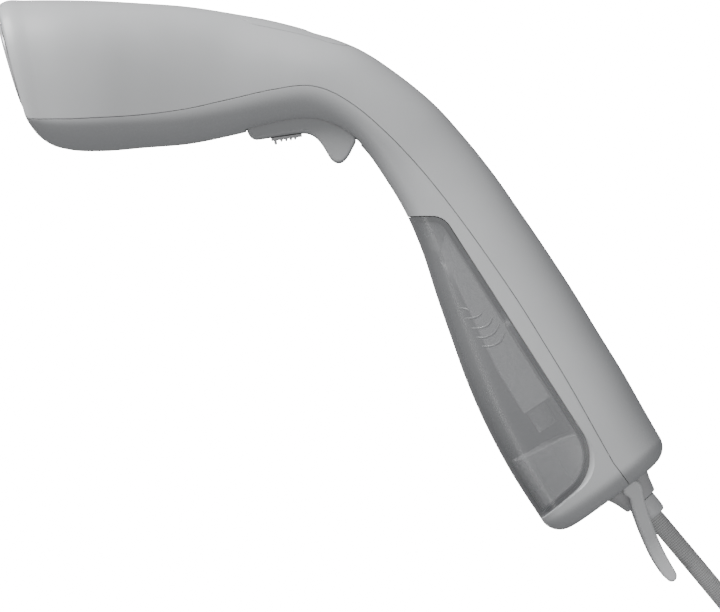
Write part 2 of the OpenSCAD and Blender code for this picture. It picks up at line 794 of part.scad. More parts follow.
module cord_clamp() {
  color("ivory") in_gland() difference() {
    box([-9, 4.1, -36], [9, 8.4, -31]);
    for (side = [-1, 1]) translate([side * 6.6, 0, -33.5]) rotate([-90, 0, 0]) cylinder(r = 1.5, h = 10);
  }
}
module clamp_screws() {
  color("dimgray") in_gland() for (side = [-1, 1]) translate([side * 6.6, -3, -33.5]) rotate([-90, 0, 0]) {
    cylinder(r = 1.4, h = 11.5);
    translate([0, 0, 11.5 - tiny]) cylinder(r = 2.5, h = 1.8);
  }
}
module inner_lead() {
  color("gray") in_gland() translate([0, 0, -40]) cylinder(r = cord_d / 2 - 0.05, h = 40);
}
collar_pivot_s = -16.2;
trunnion_r = 1.9;
module gland_collar() {
  color("dimgray") in_gland() difference() {
    union() {
      rotate_extrude() polygon([
        [0, -27], [9.2, -27], [9.2, -25.4], [6.9, -25.4], [6.9, -18.8], [11, -18.8],
        [9.4, -15.4], [8.5, -12.6], [7.9, -10.4], [7.4, -9.4], [0, -9.4]
      ]);
      translate([0, 0, collar_pivot_s]) rotate([0, 90, 0]) cylinder(r = trunnion_r, h = 25, center = true);
    }
    translate([0, 0, -30]) cylinder(r = 5.6, h = 40);
  }
}
module strain_relief() {
  color("gray") in_gland() difference() {
    rotate_extrude() polygon([
      [0, -30], [7, -30], [7, -27.1], [5.5, -27.1], [5.5, -9.2], [6.3, -9.2], [6.2, -5],
      [6, -1.9], [5.2, -0.8], [0, -0.8]
    ]);
    translate([0, 0, -31]) cylinder(r = cord_d / 2, h = 32);
  }
}

// The bail is an arc in the middle plane, hinged at its upper end
bail_pivot = gland_at + heading(gland_angle) * collar_pivot_s;
bail_tip = [142.5, -121.9];
bail_r = 150;
bail_half_t = 2.6;
arm_z = [11.2, 13.8];
bail_chord = bail_tip - bail_pivot;
bail_centre = (bail_tip + bail_pivot) / 2
  + turned(unit(bail_chord), 90) * sqrt(bail_r * bail_r - pow(norm(bail_chord) / 2, 2));
function bail_arc(r, t) =
  let (from = unit(bail_pivot - bail_centre), sweep = 2 * asin(norm(bail_chord) / 2 / bail_r))
  bail_centre + turned(from, sweep * t) * r;
module bail_profile(t0, t1, half) {
  polygon(concat(
    [for (k = [0:12]) bail_arc(bail_r - half, between(t0, t1, k / 12))],
    [for (k = [12:-1:0]) bail_arc(bail_r + half, between(t0, t1, k / 12))]
  ));
}
module hanging_loop() {
  color("darkgray") difference() {
    union() {
      slab(2 * arm_z[1]) bail_profile(0, 1, bail_half_t);
      rod_z(4.3, 2 * arm_z[1], bail_pivot);
      rod_z(bail_half_t, 2 * arm_z[1], bail_tip);
    }
    slab(2 * arm_z[0]) bail_profile(-0.4, 0.9, 9);
    rod_z(trunnion_r + 0.05, 25.4, bail_pivot);
  }
}

// ---- Free cord, coil and plug ----

out_dir = heading(gland_angle);
side_dir = turned(out_dir, -90);
// How far along the way out, and how high the cord's middle is there
lead_route = [
  [0, 38], [10, 38], [20, 37.6], [30, 36.2], [40, 33.4], [50, 29], [60, 23.4], [70, 17.4], [80, 11.8],
  [90, 7.6], [100, 5], [106, 4.3], [112, 4]
];
lead_points = [for (p = lead_route) let (s = p[0] * lead_length / 112)
  [gland_at.x + out_dir.x * s, gland_at.y + out_dir.y * s, between(p[1], p[1] + mid_z - 38, (112 - p[0]) / 112)]];
coil_centre = gland_at + out_dir * lead_length + side_dir * coil_outer_turn;
coil_inner_r = coil_outer_turn - (coil_columns - 0.5) * cord_d;
coil_outer_r = coil_outer_turn + cord_d / 2;
coil_h = coil_layers * cord_d;
module power_cord() {
  color("gray") tube(smooth_path(lead_points, 2), cord_d / 2, 10, [-side_dir.x, -side_dir.y, 0]);
}
module cord_coil() {
  corner = 3;
  color("gray") translate([coil_centre.x, coil_centre.y, 0]) rotate_extrude() polygon(concat(
    round_corner([coil_outer_r, 0], [coil_inner_r, 0], [coil_inner_r, coil_h], corner, 4),
    round_corner([coil_inner_r, 0], [coil_inner_r, coil_h], [coil_outer_r, coil_h], corner, 4),
    round_corner([coil_inner_r, coil_h], [coil_outer_r, coil_h], [coil_outer_r, 0], corner, 4),
    round_corner([coil_outer_r, coil_h], [coil_outer_r, 0], [coil_inner_r, 0], corner, 4)
  ));
}
tie_angle = 150;
tie_t = 1;
module cord_tie() {
  color("black") translate([coil_centre.x, coil_centre.y, 0]) rotate([0, 0, tie_angle]) difference() {
    box([coil_inner_r - tie_t, -6, 0], [coil_outer_r + tie_t, 6, coil_h + tie_t]);
    box([coil_inner_r, -7, tie_t], [coil_outer_r, 7, coil_h]);
  }
}
plug_start = 53;
plug_length = 42;
plug_shank_r = 1.9;
relief_length = 26;
coil_leave = [coil_centre.x, coil_centre.y - coil_outer_turn, coil_h - cord_d / 2];
plug_lead_points = [
  coil_leave + [8, 0.4, 0], coil_leave, coil_leave + [-10, 0.9, 0.7], coil_leave + [-20, 3.6, 2.4],
  coil_leave + [-30, 7.2, 4.4], coil_leave + [-42, 10.4, 5.8], coil_leave + [-plug_start, 11, 6]
];
module plug_lead() {
  color("gray") tube(smooth_path(plug_lead_points, 3), cord_d / 2, 10);
}
// Along the plug, local Z points to its pins; it starts at the end of its strain relief
module in_plug() {
  translate([coil_leave.x - plug_start, coil_leave.y + 11, plug_d / 2]) rotate([0, -90, 0]) children();
}
module plug_body() {
  face = relief_length + plug_length;
  color("dimgray") in_plug() difference() {
    rotate_extrude() polygon([
      [0, 0], [5.4, 0], [6, 2], [8, relief_length - 3], [12, relief_length], [plug_d / 2 - 2, relief_length + 8],
      [plug_d / 2, relief_length + 13], [plug_d / 2, face - 2], [plug_d / 2 - 2, face], [0, face]
    ]);
    for (side = [-1, 1]) translate([0, side * plug_pin_spacing / 2, face - 12]) cylinder(r = plug_shank_r, h = 13);
  }
}
module plug_pins() {
  face = relief_length + plug_length;
  color("silver") in_plug() for (side = [-1, 1]) translate([0, side * plug_pin_spacing / 2, face]) {
    translate([0, 0, -12]) cylinder(r = plug_shank_r, h = 12.1);
    translate([0, 0, 0.1 - tiny]) cylinder(r = plug_pin_r, h = plug_pin_length - 1.6);
    translate([0, 0, plug_pin_length - 1.5 - tiny]) cylinder(r1 = plug_pin_r, r2 = 1.4, h = 1.5);
  }
}

upper_shell();
lower_shell();
steam_plate();
plate_gasket();
steam_chamber();
chamber_cover();
heating_element();
thermostat();
thermal_fuse();
heat_shield();
chamber_screws();
control_panel();
power_button();
indicator_lens();
button_board();
trigger();
trigger_lock();
trigger_pin();
trigger_spring();
trigger_bracket();
micro_switch();
switch_plunger();
water_tank();
tank_floor();
tank_cap();
cap_seal();
tank_valve();
pickup_tube();
intake_filter();
dock_nozzle();
dock_seal();
inlet_hose();
pump_body();
pump_plunger();
pump_mounts();
outlet_hose();
circuit_board();
relay();
capacitor();
terminal_block();
wiring();
shell_screws();
cord_clamp();
clamp_screws();
inner_lead();
gland_collar();
strain_relief();
hanging_loop();
power_cord();
cord_coil();
cord_tie();
plug_lead();
plug_body();
plug_pins();
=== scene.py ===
import json
from math import acos, asin, cos, hypot, pi, radians, sin, sqrt, tan

import bmesh
import bpy
import numpy as np
from mathutils import Matrix, Vector
from mathutils.bvhtree import BVHTree


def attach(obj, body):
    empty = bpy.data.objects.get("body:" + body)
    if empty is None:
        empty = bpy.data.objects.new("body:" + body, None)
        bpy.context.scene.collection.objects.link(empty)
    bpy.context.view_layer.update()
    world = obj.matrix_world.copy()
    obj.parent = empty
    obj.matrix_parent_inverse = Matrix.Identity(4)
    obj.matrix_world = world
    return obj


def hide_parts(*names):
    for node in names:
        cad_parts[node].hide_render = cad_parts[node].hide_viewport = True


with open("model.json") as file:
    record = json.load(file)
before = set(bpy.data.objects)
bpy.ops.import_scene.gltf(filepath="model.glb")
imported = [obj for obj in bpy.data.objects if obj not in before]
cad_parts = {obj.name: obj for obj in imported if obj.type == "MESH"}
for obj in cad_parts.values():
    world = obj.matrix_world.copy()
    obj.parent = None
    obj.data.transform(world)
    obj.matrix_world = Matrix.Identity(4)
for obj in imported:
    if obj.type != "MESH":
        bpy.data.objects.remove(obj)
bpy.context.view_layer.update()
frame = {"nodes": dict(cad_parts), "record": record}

MM = 0.001
MID = 38.0

# ---- Camera: straight above, looking down on the steamer lying on its side ----

VIEW_CENTRE = (9.4, -6.5)
VIEW_WIDTH = 309.6


def add_camera():
    data = bpy.data.cameras.new("camera")
    data.lens = 260
    data.sensor_width = 36
    data.clip_end = 30
    camera = bpy.data.objects.new("camera", data)
    bpy.context.collection.objects.link(camera)
    distance = VIEW_WIDTH * MM * data.lens / data.sensor_width
    camera.location = (VIEW_CENTRE[0] * MM, VIEW_CENTRE[1] * MM, MID * MM + distance)
    bpy.context.scene.camera = camera


add_camera()

# ---- Small vector helpers, in millimetres ----


def vec(*values):
    return np.array(values, float)


def unit(v):
    return v / np.linalg.norm(v)


def turned(v, degrees):
    a = radians(degrees)
    return vec(v[0] * cos(a) - v[1] * sin(a), v[0] * sin(a) + v[1] * cos(a))


def heading(degrees):
    return vec(cos(radians(degrees)), sin(radians(degrees)))


def local_frame(at, angle):
    return Matrix.Translation((at[0], at[1], MID)) @ Matrix.Rotation(radians(angle), 4, "Z")


FACE_AT, FACE_ANGLE = vec(-140.1, 96.5), 16.4
GRIP_AT, GRIP_ANGLE = vec(49.1, 25.6), -57.45
PANEL_AT, PANEL_ANGLE = vec(-18, 113.4), -15.9
GLAND_AT, GLAND_ANGLE = vec(136.4, -97.6), -50
BASE_ANGLE = -52.5
IN_HEAD = local_frame(FACE_AT, FACE_ANGLE)
IN_GRIP = local_frame(GRIP_AT, GRIP_ANGLE)
IN_PANEL = local_frame(PANEL_AT, PANEL_ANGLE)
IN_GLAND = local_frame(GLAND_AT, GLAND_ANGLE) @ Matrix.Rotation(pi / 2, 4, "Y")

# ---- The casing's form: sections from the steam plate to the base ----

HEAD, NECK, BASE = 38.0, 21.5, 35.0


def blend_width(a, b, t):
    return a + (b - a) * t


ROWS = np.array(
    [
        [-145.4, 119.4, -133.3, 77.5, -132.3, 73.9, HEAD - 3, 3, 2.2],
        [-145.1, 122.4, -132.6, 75, -131.6, 71.2, HEAD - 0.9, 3.2, 2.2],
        [-142.6, 124.2, -130.8, 73.6, -129.4, 67.7, HEAD, 3.2, 2.2],
        [-134, 124.6, -125, 73.3, -124, 63.2, HEAD, 3.2, 2.2],
        [-121, 124.7, -116, 73.4, -115, 60.6, HEAD, 3.2, 2.2],
        [-104, 124.5, -102, 74.1, -101, 60.1, blend_width(HEAD, NECK, 0.12), 3, 2.2],
        [-85, 123.6, -85, 75.3, -83, 61.5, blend_width(HEAD, NECK, 0.4), 2.8, 2.2],
        [-65, 122.2, -66, 77.9, -64, 63.1, blend_width(HEAD, NECK, 0.7), 2.6, 2.2],
        [-45, 119.2, -46.5, 82.3, -45, 66.9, blend_width(HEAD, NECK, 0.92), 2.4, 2.2],
        [-26, 115.6, -28, 86.5, -29, 70.8, NECK, 2.3, 2.2],
        [-8, 110.5, -13, 88.3, -16, 73, NECK, 2.3, 2.2],
        [9, 104, -2.5, 85.6, -6, 72.1, NECK, 2.3, 2.2],
        [25, 93.7, 9.5, 78.2, 4, 67.4, NECK, 2.3, 2.2],
        [40.5, 81.1, 21.5, 67.7, 12, 60, NECK, 2.3, 2.2],
        [54, 66.4, 33.5, 55.2, 20.3, 48.2, NECK, 2.3, 2.3],
        [66.5, 50.8, 45, 41.3, 28.5, 34.6, blend_width(NECK, BASE, 0.1), 2.3, 2.4],
        [78, 34.4, 56.5, 26, 36, 17.4, blend_width(NECK, BASE, 0.26), 2.3, 2.5],
        [89, 18.3, 67.5, 10.4, 42.4, -2.3, blend_width(NECK, BASE, 0.43), 2.3, 2.6],
        [100, 1.5, 78, -5.2, 48.6, -20.2, blend_width(NECK, BASE, 0.6), 2.3, 2.7],
        [111.5, -17.3, 89, -23, 55.5, -39.3, blend_width(NECK, BASE, 0.78), 2.4, 2.8],
        [122.5, -35.2, 99, -39.6, 64, -58.6, blend_width(NECK, BASE, 0.92), 2.5, 2.9],
        [131, -50.3, 108.5, -56.5, 75, -79, BASE, 2.6, 3],
        [137.5, -61.7, 119.2, -75.6, 88, -99.2, BASE, 2.8, 3],
    ]
)
LAST = len(ROWS) - 1
EDGE_R = 8.5


def back_of(row):
    return row[0:2]


def seam_of(row):
    return row[2:4]


def front_of(row):
    return row[4:6]


def row_gap(i):
    step = ROWS[i + 1] - ROWS[i]
    return (hypot(*back_of(step)) + hypot(*front_of(step))) / 2


def row_slope(i):
    return (ROWS[i + 1] - ROWS[i]) / row_gap(i)


def row_tangent(i):
    if i == 0:
        return row_slope(0)
    if i == LAST:
        return row_slope(i - 1)
    a, b = row_gap(i - 1), row_gap(i)
    return (row_slope(i - 1) * b + row_slope(i) * a) / (a + b)


def row_at(i, t):
    h = row_gap(i)
    return (
        ROWS[i] * (2 * t**3 - 3 * t * t + 1)
        + ROWS[i + 1] * (3 * t * t - 2 * t**3)
        + row_tangent(i) * h * (t**3 - 2 * t * t + t)
        + row_tangent(i + 1) * h * (t**3 - t * t)
    )


def smooth_rows(first, last, pitch):
    rows = []
    for i in range(first, last):
        n = max(1, round(row_gap(i) / pitch))
        rows += [row_at(i, k / n) for k in range(n)]
    return rows + [ROWS[last]]


def base_row(row, degrees):
    a = radians(degrees)
    out = heading(BASE_ANGLE) * EDGE_R * sin(a)
    draw = EDGE_R * (1 - cos(a))
    across = unit(back_of(row) - front_of(row))
    edge = row.copy()
    edge[0:2] += out - across * draw
    edge[2:4] += out
    edge[4:6] += out + across * draw
    edge[6] -= draw
    return edge


def inset_row(row, depth):
    inner = row.copy()
    inner[0:2] -= unit(back_of(row) - seam_of(row)) * depth
    inner[4:6] -= unit(front_of(row) - seam_of(row)) * depth
    inner[6] -= depth
    return inner


def moved_row(row, v):
    shifted = row.copy()
    for k in (0, 2, 4):
        shifted[k : k + 2] += v
    return shifted


def quarter(n, degrees):
    c, s = abs(cos(radians(degrees))), abs(sin(radians(degrees)))
    r = (c**n + s**n) ** (-1 / n)
    return r * cos(radians(degrees)), r * sin(radians(degrees))


def section(row, back_n, front_n):
    half = []
    for k in range(back_n + 1):
        wide, deep = quarter(row[7], 90 * (1 - k / back_n))
        p = seam_of(row) + (back_of(row) - seam_of(row)) * deep
        half.append((p[0], p[1], row[6] * wide))
    for k in range(1, front_n + 1):
        wide, deep = quarter(row[8], 90 * k / front_n)
        p = seam_of(row) + (front_of(row) - seam_of(row)) * deep
        half.append((p[0], p[1], row[6] * wide))
    loop = [(x, y, MID + z) for x, y, z in half]
    return loop + [(x, y, MID - z) for x, y, z in half[-2:0:-1]]


# ---- Mesh helpers ----


def mesh_piece(name, points, faces, matrix=None):
    """A piece from points in millimetres, in the row frame or in a local frame."""
    mesh = bpy.data.meshes.new(name)
    if matrix is not None:
        points = [matrix @ Vector(p) for p in points]
    mesh.from_pydata([tuple(c * MM for c in p) for p in points], [], faces)
    mesh.validate()
    mesh.update()
    piece = bpy.data.objects.new(name, mesh)
    bpy.context.collection.objects.link(piece)
    return piece


def outwards(piece):
    b = bmesh.new()
    b.from_mesh(piece.data)
    bmesh.ops.recalc_face_normals(b, faces=b.faces)
    if b.calc_volume(signed=True) < 0:
        bmesh.ops.reverse_faces(b, faces=b.faces)
    b.to_mesh(piece.data)
    b.free()
    return piece


def lofted(name, rows, back_n, front_n):
    m = back_n + front_n
    n = 2 * m
    points = [p for row in rows for p in section(row, back_n, front_n)]
    faces = []
    for i in range(len(rows) - 1):
        for k in range(n):
            a, b = i * n + k, i * n + (k + 1) % n
            faces.append((a, a + n, b + n, b))
    for end in (0, (len(rows) - 1) * n):
        cap = [(0, 1, n - 1), (m - 1, m, m + 1)]
        cap += [(k, k + 1, n - k - 1, n - k) for k in range(1, m - 1)]
        faces += [tuple(end + i for i in f) for f in cap]
    return outwards(mesh_piece(name, points, faces))


def body_form(name):
    end = ROWS[LAST]
    rows = smooth_rows(0, 3, 0.8) + smooth_rows(3, LAST, 2.5)[1:]
    return lofted(name, rows + [base_row(end, a) for a in range(6, 91, 6)], 30, 22)


def body_hollow(name, depth):
    end = moved_row(ROWS[LAST], heading(BASE_ANGLE) * (EDGE_R - depth - 3))
    rows = smooth_rows(2, LAST, 3.5) + [end]
    return lofted(name, [inset_row(row, depth) for row in rows], 24, 18)


def prism(name, outline, low, high, matrix=None):
    n = len(outline)
    points = [(p[0], p[1], z) for z in (low, high) for p in outline]
    faces = [tuple(range(n - 1, -1, -1)), tuple(range(n, 2 * n))]
    faces += [(k, (k + 1) % n, n + (k + 1) % n, n + k) for k in range(n)]
    return outwards(mesh_piece(name, points, faces, matrix))


def cross_slab(name, outline, a, b, matrix):
    """An outline in the local Y-Z plane, from x = a to x = b."""
    n = len(outline)
    points = [(x, p[0], p[1]) for x in (a, b) for p in outline]
    faces = [tuple(range(n)), tuple(range(2 * n - 1, n - 1, -1))]
    faces += [(k, n + k, n + (k + 1) % n, (k + 1) % n) for k in range(n)]
    return outwards(mesh_piece(name, points, faces, matrix))


def ring(profile, name, matrix, sides=72):
    """A closed profile of (radius, height) turned about the local Z axis."""
    points, faces = [], []
    m = len(profile)
    for k in range(sides):
        a = 2 * pi * k / sides
        points += [(r * cos(a), r * sin(a), z) for r, z in profile]
    for k in range(sides):
        for i in range(m):
            a, b = k * m + i, k * m + (i + 1) % m
            c, d = (k + 1) % sides * m + (i + 1) % m, (k + 1) % sides * m + i
            faces.append((a, b, c, d))
    piece = mesh_piece(name, points, faces, matrix)
    b = bmesh.new()
    b.from_mesh(piece.data)
    bmesh.ops.remove_doubles(b, verts=b.verts, dist=1e-8)
    b.to_mesh(piece.data)
    b.free()
    return outwards(piece)


def rounded(profile, radius, steps=4):
    """A closed profile with each sharp corner rounded."""
    points = []
    n = len(profile)
    for i in range(n):
        a, p, b = (np.array(profile[(i + k) % n], float) for k in (-1, 0, 1))
        u, v = a - p, b - p
        lu, lv = np.linalg.norm(u), np.linalg.norm(v)
        u, v = u / lu, v / lv
        bend = pi - acos(max(-1, min(1, float(u @ v))))
        if bend < 0.25 or (abs(p[0]) < 1e-9):
            points.append(tuple(p))
            continue
        cut = min(radius * tan(bend / 2), 0.45 * lu, 0.45 * lv)
        for k in range(steps + 1):
            t = k / steps
            q = (p + u * cut) * (1 - t) ** 2 + 2 * p * t * (1 - t) + (p + v * cut) * t * t
            points.append(tuple(q))
    return points


def cylinder(name, r, a, b, matrix, axis, at=(0, 0), sides=64):
    turn = {"x": Matrix.Rotation(pi / 2, 4, "Y"), "y": Matrix.Rotation(-pi / 2, 4, "X"), "z": Matrix.Identity(4)}
    place = {"x": (0, at[0], at[1]), "y": (at[0], 0, at[1]), "z": (at[0], at[1], 0)}
    m = matrix @ Matrix.Translation(place[axis]) @ turn[axis]
    outline = [(r * cos(2 * pi * k / sides), r * sin(2 * pi * k / sides)) for k in range(sides)]
    return prism(name, outline, a, b, m)


def block(name, low, high, matrix):
    outline = [(low[0], low[1]), (high[0], low[1]), (high[0], high[1]), (low[0], high[1])]
    return prism(name, outline, low[2], high[2], matrix)


def drop(*pieces):
    for piece in pieces:
        mesh = piece.data
        bpy.data.objects.remove(piece)
        bpy.data.meshes.remove(mesh)


def combine(piece, other, operation, keep=False):
    m = piece.modifiers.new("cut", "BOOLEAN")
    m.object = other
    m.operation = operation
    m.solver = "MANIFOLD"
    bpy.context.view_layer.update()
    graph = bpy.context.evaluated_depsgraph_get()
    mesh = bpy.data.meshes.new_from_object(piece.evaluated_get(graph))
    old = piece.data
    piece.modifiers.remove(m)
    if len(mesh.polygons) == 0:
        raise RuntimeError(f"{piece.name} {operation} {other.name} is empty")
    piece.data = mesh
    bpy.data.meshes.remove(old)
    if not keep:
        drop(other)
    return piece


def cut(piece, *others):
    for other in others:
        combine(piece, other, "DIFFERENCE")
    return piece


def common(piece, *others):
    for other in others:
        combine(piece, other, "INTERSECT")
    return piece


def joined(piece, *others):
    for other in others:
        combine(piece, other, "UNION")
    return piece


def smooth(piece, degrees=32):
    for p in piece.data.polygons:
        p.use_smooth = True
    piece.data.set_sharp_from_angle(angle=radians(degrees))
    return piece


def even_normals(piece):
    """Shading normals weighted by face area, so flat faces look flat beside rounded edges."""
    m = piece.modifiers.new("even", "WEIGHTED_NORMAL")
    m.keep_sharp = True
    bpy.context.view_layer.update()
    mesh = bpy.data.meshes.new_from_object(piece.evaluated_get(bpy.context.evaluated_depsgraph_get()))
    old = piece.data
    piece.modifiers.remove(m)
    piece.data = mesh
    bpy.data.meshes.remove(old)
    return piece


def copied(piece, name):
    twin = bpy.data.objects.new(name, piece.data.copy())
    bpy.context.collection.objects.link(twin)
    return twin


def edged(outline, low, high, radius, name, matrix=None, steps=4):
    """A prism over a smooth outline, with its two edges rounded."""
    pts = np.array(outline, float)
    area = np.sum(pts[:, 0] * np.roll(pts[:, 1], -1) - np.roll(pts[:, 0], -1) * pts[:, 1])
    if area < 0:
        pts = pts[::-1]
    n = len(pts)
    step = np.roll(pts, -1, 0) - pts
    step /= np.linalg.norm(step, axis=1)[:, None]
    before = np.roll(step, 1, 0)
    normal = np.stack([step[:, 1] + before[:, 1], -(step[:, 0] + before[:, 0])], 1)
    normal /= np.linalg.norm(normal, axis=1)[:, None]
    normal /= np.maximum(0.55, normal[:, 0] * step[:, 1] - normal[:, 1] * step[:, 0])[:, None]
    levels = [(radius * 1.3, low - radius * 0.003)]
    for k in range(steps + 1):
        a = pi / 2 * k / steps
        levels.append((radius * (1 - sin(a)), low + radius * (1 - cos(a))))
    levels += [(d, low + high - z) for d, z in levels[::-1]]
    points = [(*(p - q * d), z) for d, z in levels for p, q in zip(pts, normal)]
    faces = [tuple(range(n - 1, -1, -1)), tuple(range((len(levels) - 1) * n, len(levels) * n))]
    for i in range(len(levels) - 1):
        for k in range(n):
            a, b = i * n + k, i * n + (k + 1) % n
            faces.append((a, b, b + n, a + n))
    return outwards(mesh_piece(name, points, faces, matrix))


def curve_through(points, steps, closed=False):
    """Smooth points through a route, by cubic pieces."""
    p = [np.array(q, float) for q in points]
    n = len(p)
    out = []
    for i in range(n if closed else n - 1):
        if closed:
            a, b, c, d = p[i - 1], p[i], p[(i + 1) % n], p[(i + 2) % n]
        else:
            a, b, c, d = p[max(i - 1, 0)], p[i], p[i + 1], p[min(i + 2, n - 1)]
        for k in range(steps):
            t = k / steps
            out.append((2 * b + (c - a) * t + (2 * a - 5 * b + 4 * c - d) * t * t + (3 * b - a - 3 * c + d) * t**3) / 2)
    return out if closed else out + [p[-1]]


def arc_corner(a, p, b, r, n):
    a, p, b = vec(*a), vec(*p), vec(*b)
    u, v = unit(a - p), unit(b - p)
    half = acos(float(u @ v)) / 2
    centre = p + unit(u + v) * r / sin(half)
    start, end = p + u * r / tan(half) - centre, p + v * r / tan(half) - centre
    sweep = (180 - 2 * np.degrees(half)) * np.sign(start[0] * end[1] - start[1] * end[0])
    return [centre + turned(start, sweep * k / n) for k in range(n + 1)]


def grown(outline, d):
    """A polygon with every side moved out by d."""
    pts = np.array(outline, float)
    area = np.sum(pts[:, 0] * np.roll(pts[:, 1], -1) - np.roll(pts[:, 0], -1) * pts[:, 1])
    step = np.roll(pts, -1, 0) - pts
    step /= np.linalg.norm(step, axis=1)[:, None]
    before = np.roll(step, 1, 0)
    side = 1 if area > 0 else -1
    n1 = np.stack([step[:, 1], -step[:, 0]], 1) * side
    n0 = np.stack([before[:, 1], -before[:, 0]], 1) * side
    return [p + d * (a + b) / (1 + a @ b) for p, a, b in zip(pts, n0, n1)]


def tube(name, path, r, sides, ref=(0, 0, 1), matrix=None, closed_ends=True):
    """A tube along a path, with texture coordinates round and along it, in millimetres."""
    path = [np.array(p, float) for p in path]
    n = len(path)
    radii = r if hasattr(r, "__len__") else [r] * n
    points, along = [], [0.0]
    side = None
    for i, p in enumerate(path):
        t = unit(path[min(i + 1, n - 1)] - path[max(i - 1, 0)])
        a = np.cross(t, np.array(ref, float)) if side is None else side - t * (side @ t)
        a = unit(a)
        side = a
        b = np.cross(t, a)
        for k in range(sides):
            c = 2 * pi * k / sides
            points.append(tuple(p + (a * cos(c) + b * sin(c)) * radii[i]))
        if i:
            along.append(along[-1] + float(np.linalg.norm(p - path[i - 1])))
    faces = []
    for i in range(n - 1):
        for k in range(sides):
            a, b = i * sides + k, i * sides + (k + 1) % sides
            faces.append((a, b, b + sides, a + sides))
    if closed_ends:
        faces.append(tuple(range(sides - 1, -1, -1)))
        faces.append(tuple(range((n - 1) * sides, n * sides)))
    piece = mesh_piece(name, points, faces, matrix)
    uv = piece.data.uv_layers.new(name="UVMap")
    for f in piece.data.polygons:
        if f.index >= (n - 1) * sides:
            continue
        i, k = divmod(f.index, sides)
        corner = {0: (k, i), 1: (k + 1, i), 2: (k + 1, i + 1), 3: (k, i + 1)}
        for j, loop in enumerate(f.loop_indices):
            u, v = corner[j]
            uv.data[loop].uv = (u / sides, along[v])
    return outwards(piece)


# ---- Materials ----


def finish(name, colour, rough, grain=1400, grain_depth=0.05, tone=0.04, metal=0.0, soft_edge=0.0, alpha=1.0,
           spec=0.5, brushed=False, coat=0.0, patch=60):
    """A material with fine texture, slow changes of tone and roughness, and softened edges."""
    m = bpy.data.materials.new(name)
    m.use_nodes = True
    m.diffuse_color = (*colour, alpha)
    nodes, links = m.node_tree.nodes, m.node_tree.links
    shader = nodes["Principled BSDF"]
    shader.inputs["Metallic"].default_value = metal
    shader.inputs["Specular IOR Level"].default_value = spec
    shader.inputs["Alpha"].default_value = alpha
    shader.inputs["Coat Weight"].default_value = coat
    shader.inputs["Base Color"].default_value = (*colour, 1)
    shader.inputs["Roughness"].default_value = rough
    where = nodes.new("ShaderNodeTexCoord")
    place = nodes.new("ShaderNodeMapping")
    place.inputs["Scale"].default_value = (1, 14, 1) if brushed else (1, 1, 1)
    links.new(where.outputs["Object"], place.inputs["Vector"])
    fine = nodes.new("ShaderNodeTexNoise")
    fine.inputs["Scale"].default_value = grain
    fine.inputs["Detail"].default_value = 2
    slow = nodes.new("ShaderNodeTexNoise")
    slow.inputs["Scale"].default_value = patch
    slow.inputs["Detail"].default_value = 4
    for n in (fine, slow):
        links.new(place.outputs["Vector"], n.inputs["Vector"])
    shade = nodes.new("ShaderNodeMapRange")
    shade.inputs["From Min"].default_value = 0.25
    shade.inputs["From Max"].default_value = 0.75
    shade.inputs["To Min"].default_value = 1 - tone
    shade.inputs["To Max"].default_value = 1 + tone
    links.new(slow.outputs["Fac"], shade.inputs["Value"])
    tint = nodes.new("ShaderNodeMix")
    tint.data_type = "RGBA"
    tint.blend_type = "MULTIPLY"
    tint.inputs["Factor"].default_value = 1
    tint.inputs["A"].default_value = (*colour, 1)
    links.new(shade.outputs["Result"], tint.inputs["B"])
    links.new(tint.outputs["Result"], shader.inputs["Base Color"])
    gloss = nodes.new("ShaderNodeMapRange")
    gloss.inputs["From Min"].default_value = 0.3
    gloss.inputs["From Max"].default_value = 0.7
    gloss.inputs["To Min"].default_value = max(0.02, rough - 0.05)
    gloss.inputs["To Max"].default_value = min(1, rough + 0.05)
    links.new(slow.outputs["Fac"], gloss.inputs["Value"])
    links.new(gloss.outputs["Result"], shader.inputs["Roughness"])
    bump = nodes.new("ShaderNodeBump")
    bump.inputs["Strength"].default_value = grain_depth
    bump.inputs["Distance"].default_value = 0.0002
    links.new(fine.outputs["Fac"], bump.inputs["Height"])
    if soft_edge:
        bevel = nodes.new("ShaderNodeBevel")
        bevel.samples = 4
        bevel.inputs["Radius"].default_value = soft_edge * MM
        links.new(bevel.outputs["Normal"], bump.inputs["Normal"])
    links.new(bump.outputs["Normal"], shader.inputs["Normal"])
    return m


def smoky(name, colour, rough, clear_above, dense_below):
    """Tinted tank plastic: the far wall is seen through twice the plastic, so it hides more."""
    m = finish(name, colour, rough, grain_depth=0.004, tone=0.006, coat=0.1)
    nodes, links = m.node_tree.nodes, m.node_tree.links
    where = next(n for n in nodes if n.type == "TEX_COORD")
    split = nodes.new("ShaderNodeSeparateXYZ")
    links.new(where.outputs["Object"], split.inputs["Vector"])
    depth = nodes.new("ShaderNodeMapRange")
    depth.interpolation_type = "SMOOTHSTEP"
    depth.inputs["From Min"].default_value = 0.041
    depth.inputs["From Max"].default_value = 0.06
    depth.inputs["To Min"].default_value = dense_below
    depth.inputs["To Max"].default_value = clear_above
    links.new(split.outputs["Z"], depth.inputs["Value"])
    links.new(depth.outputs["Result"], nodes["Principled BSDF"].inputs["Alpha"])
    return m


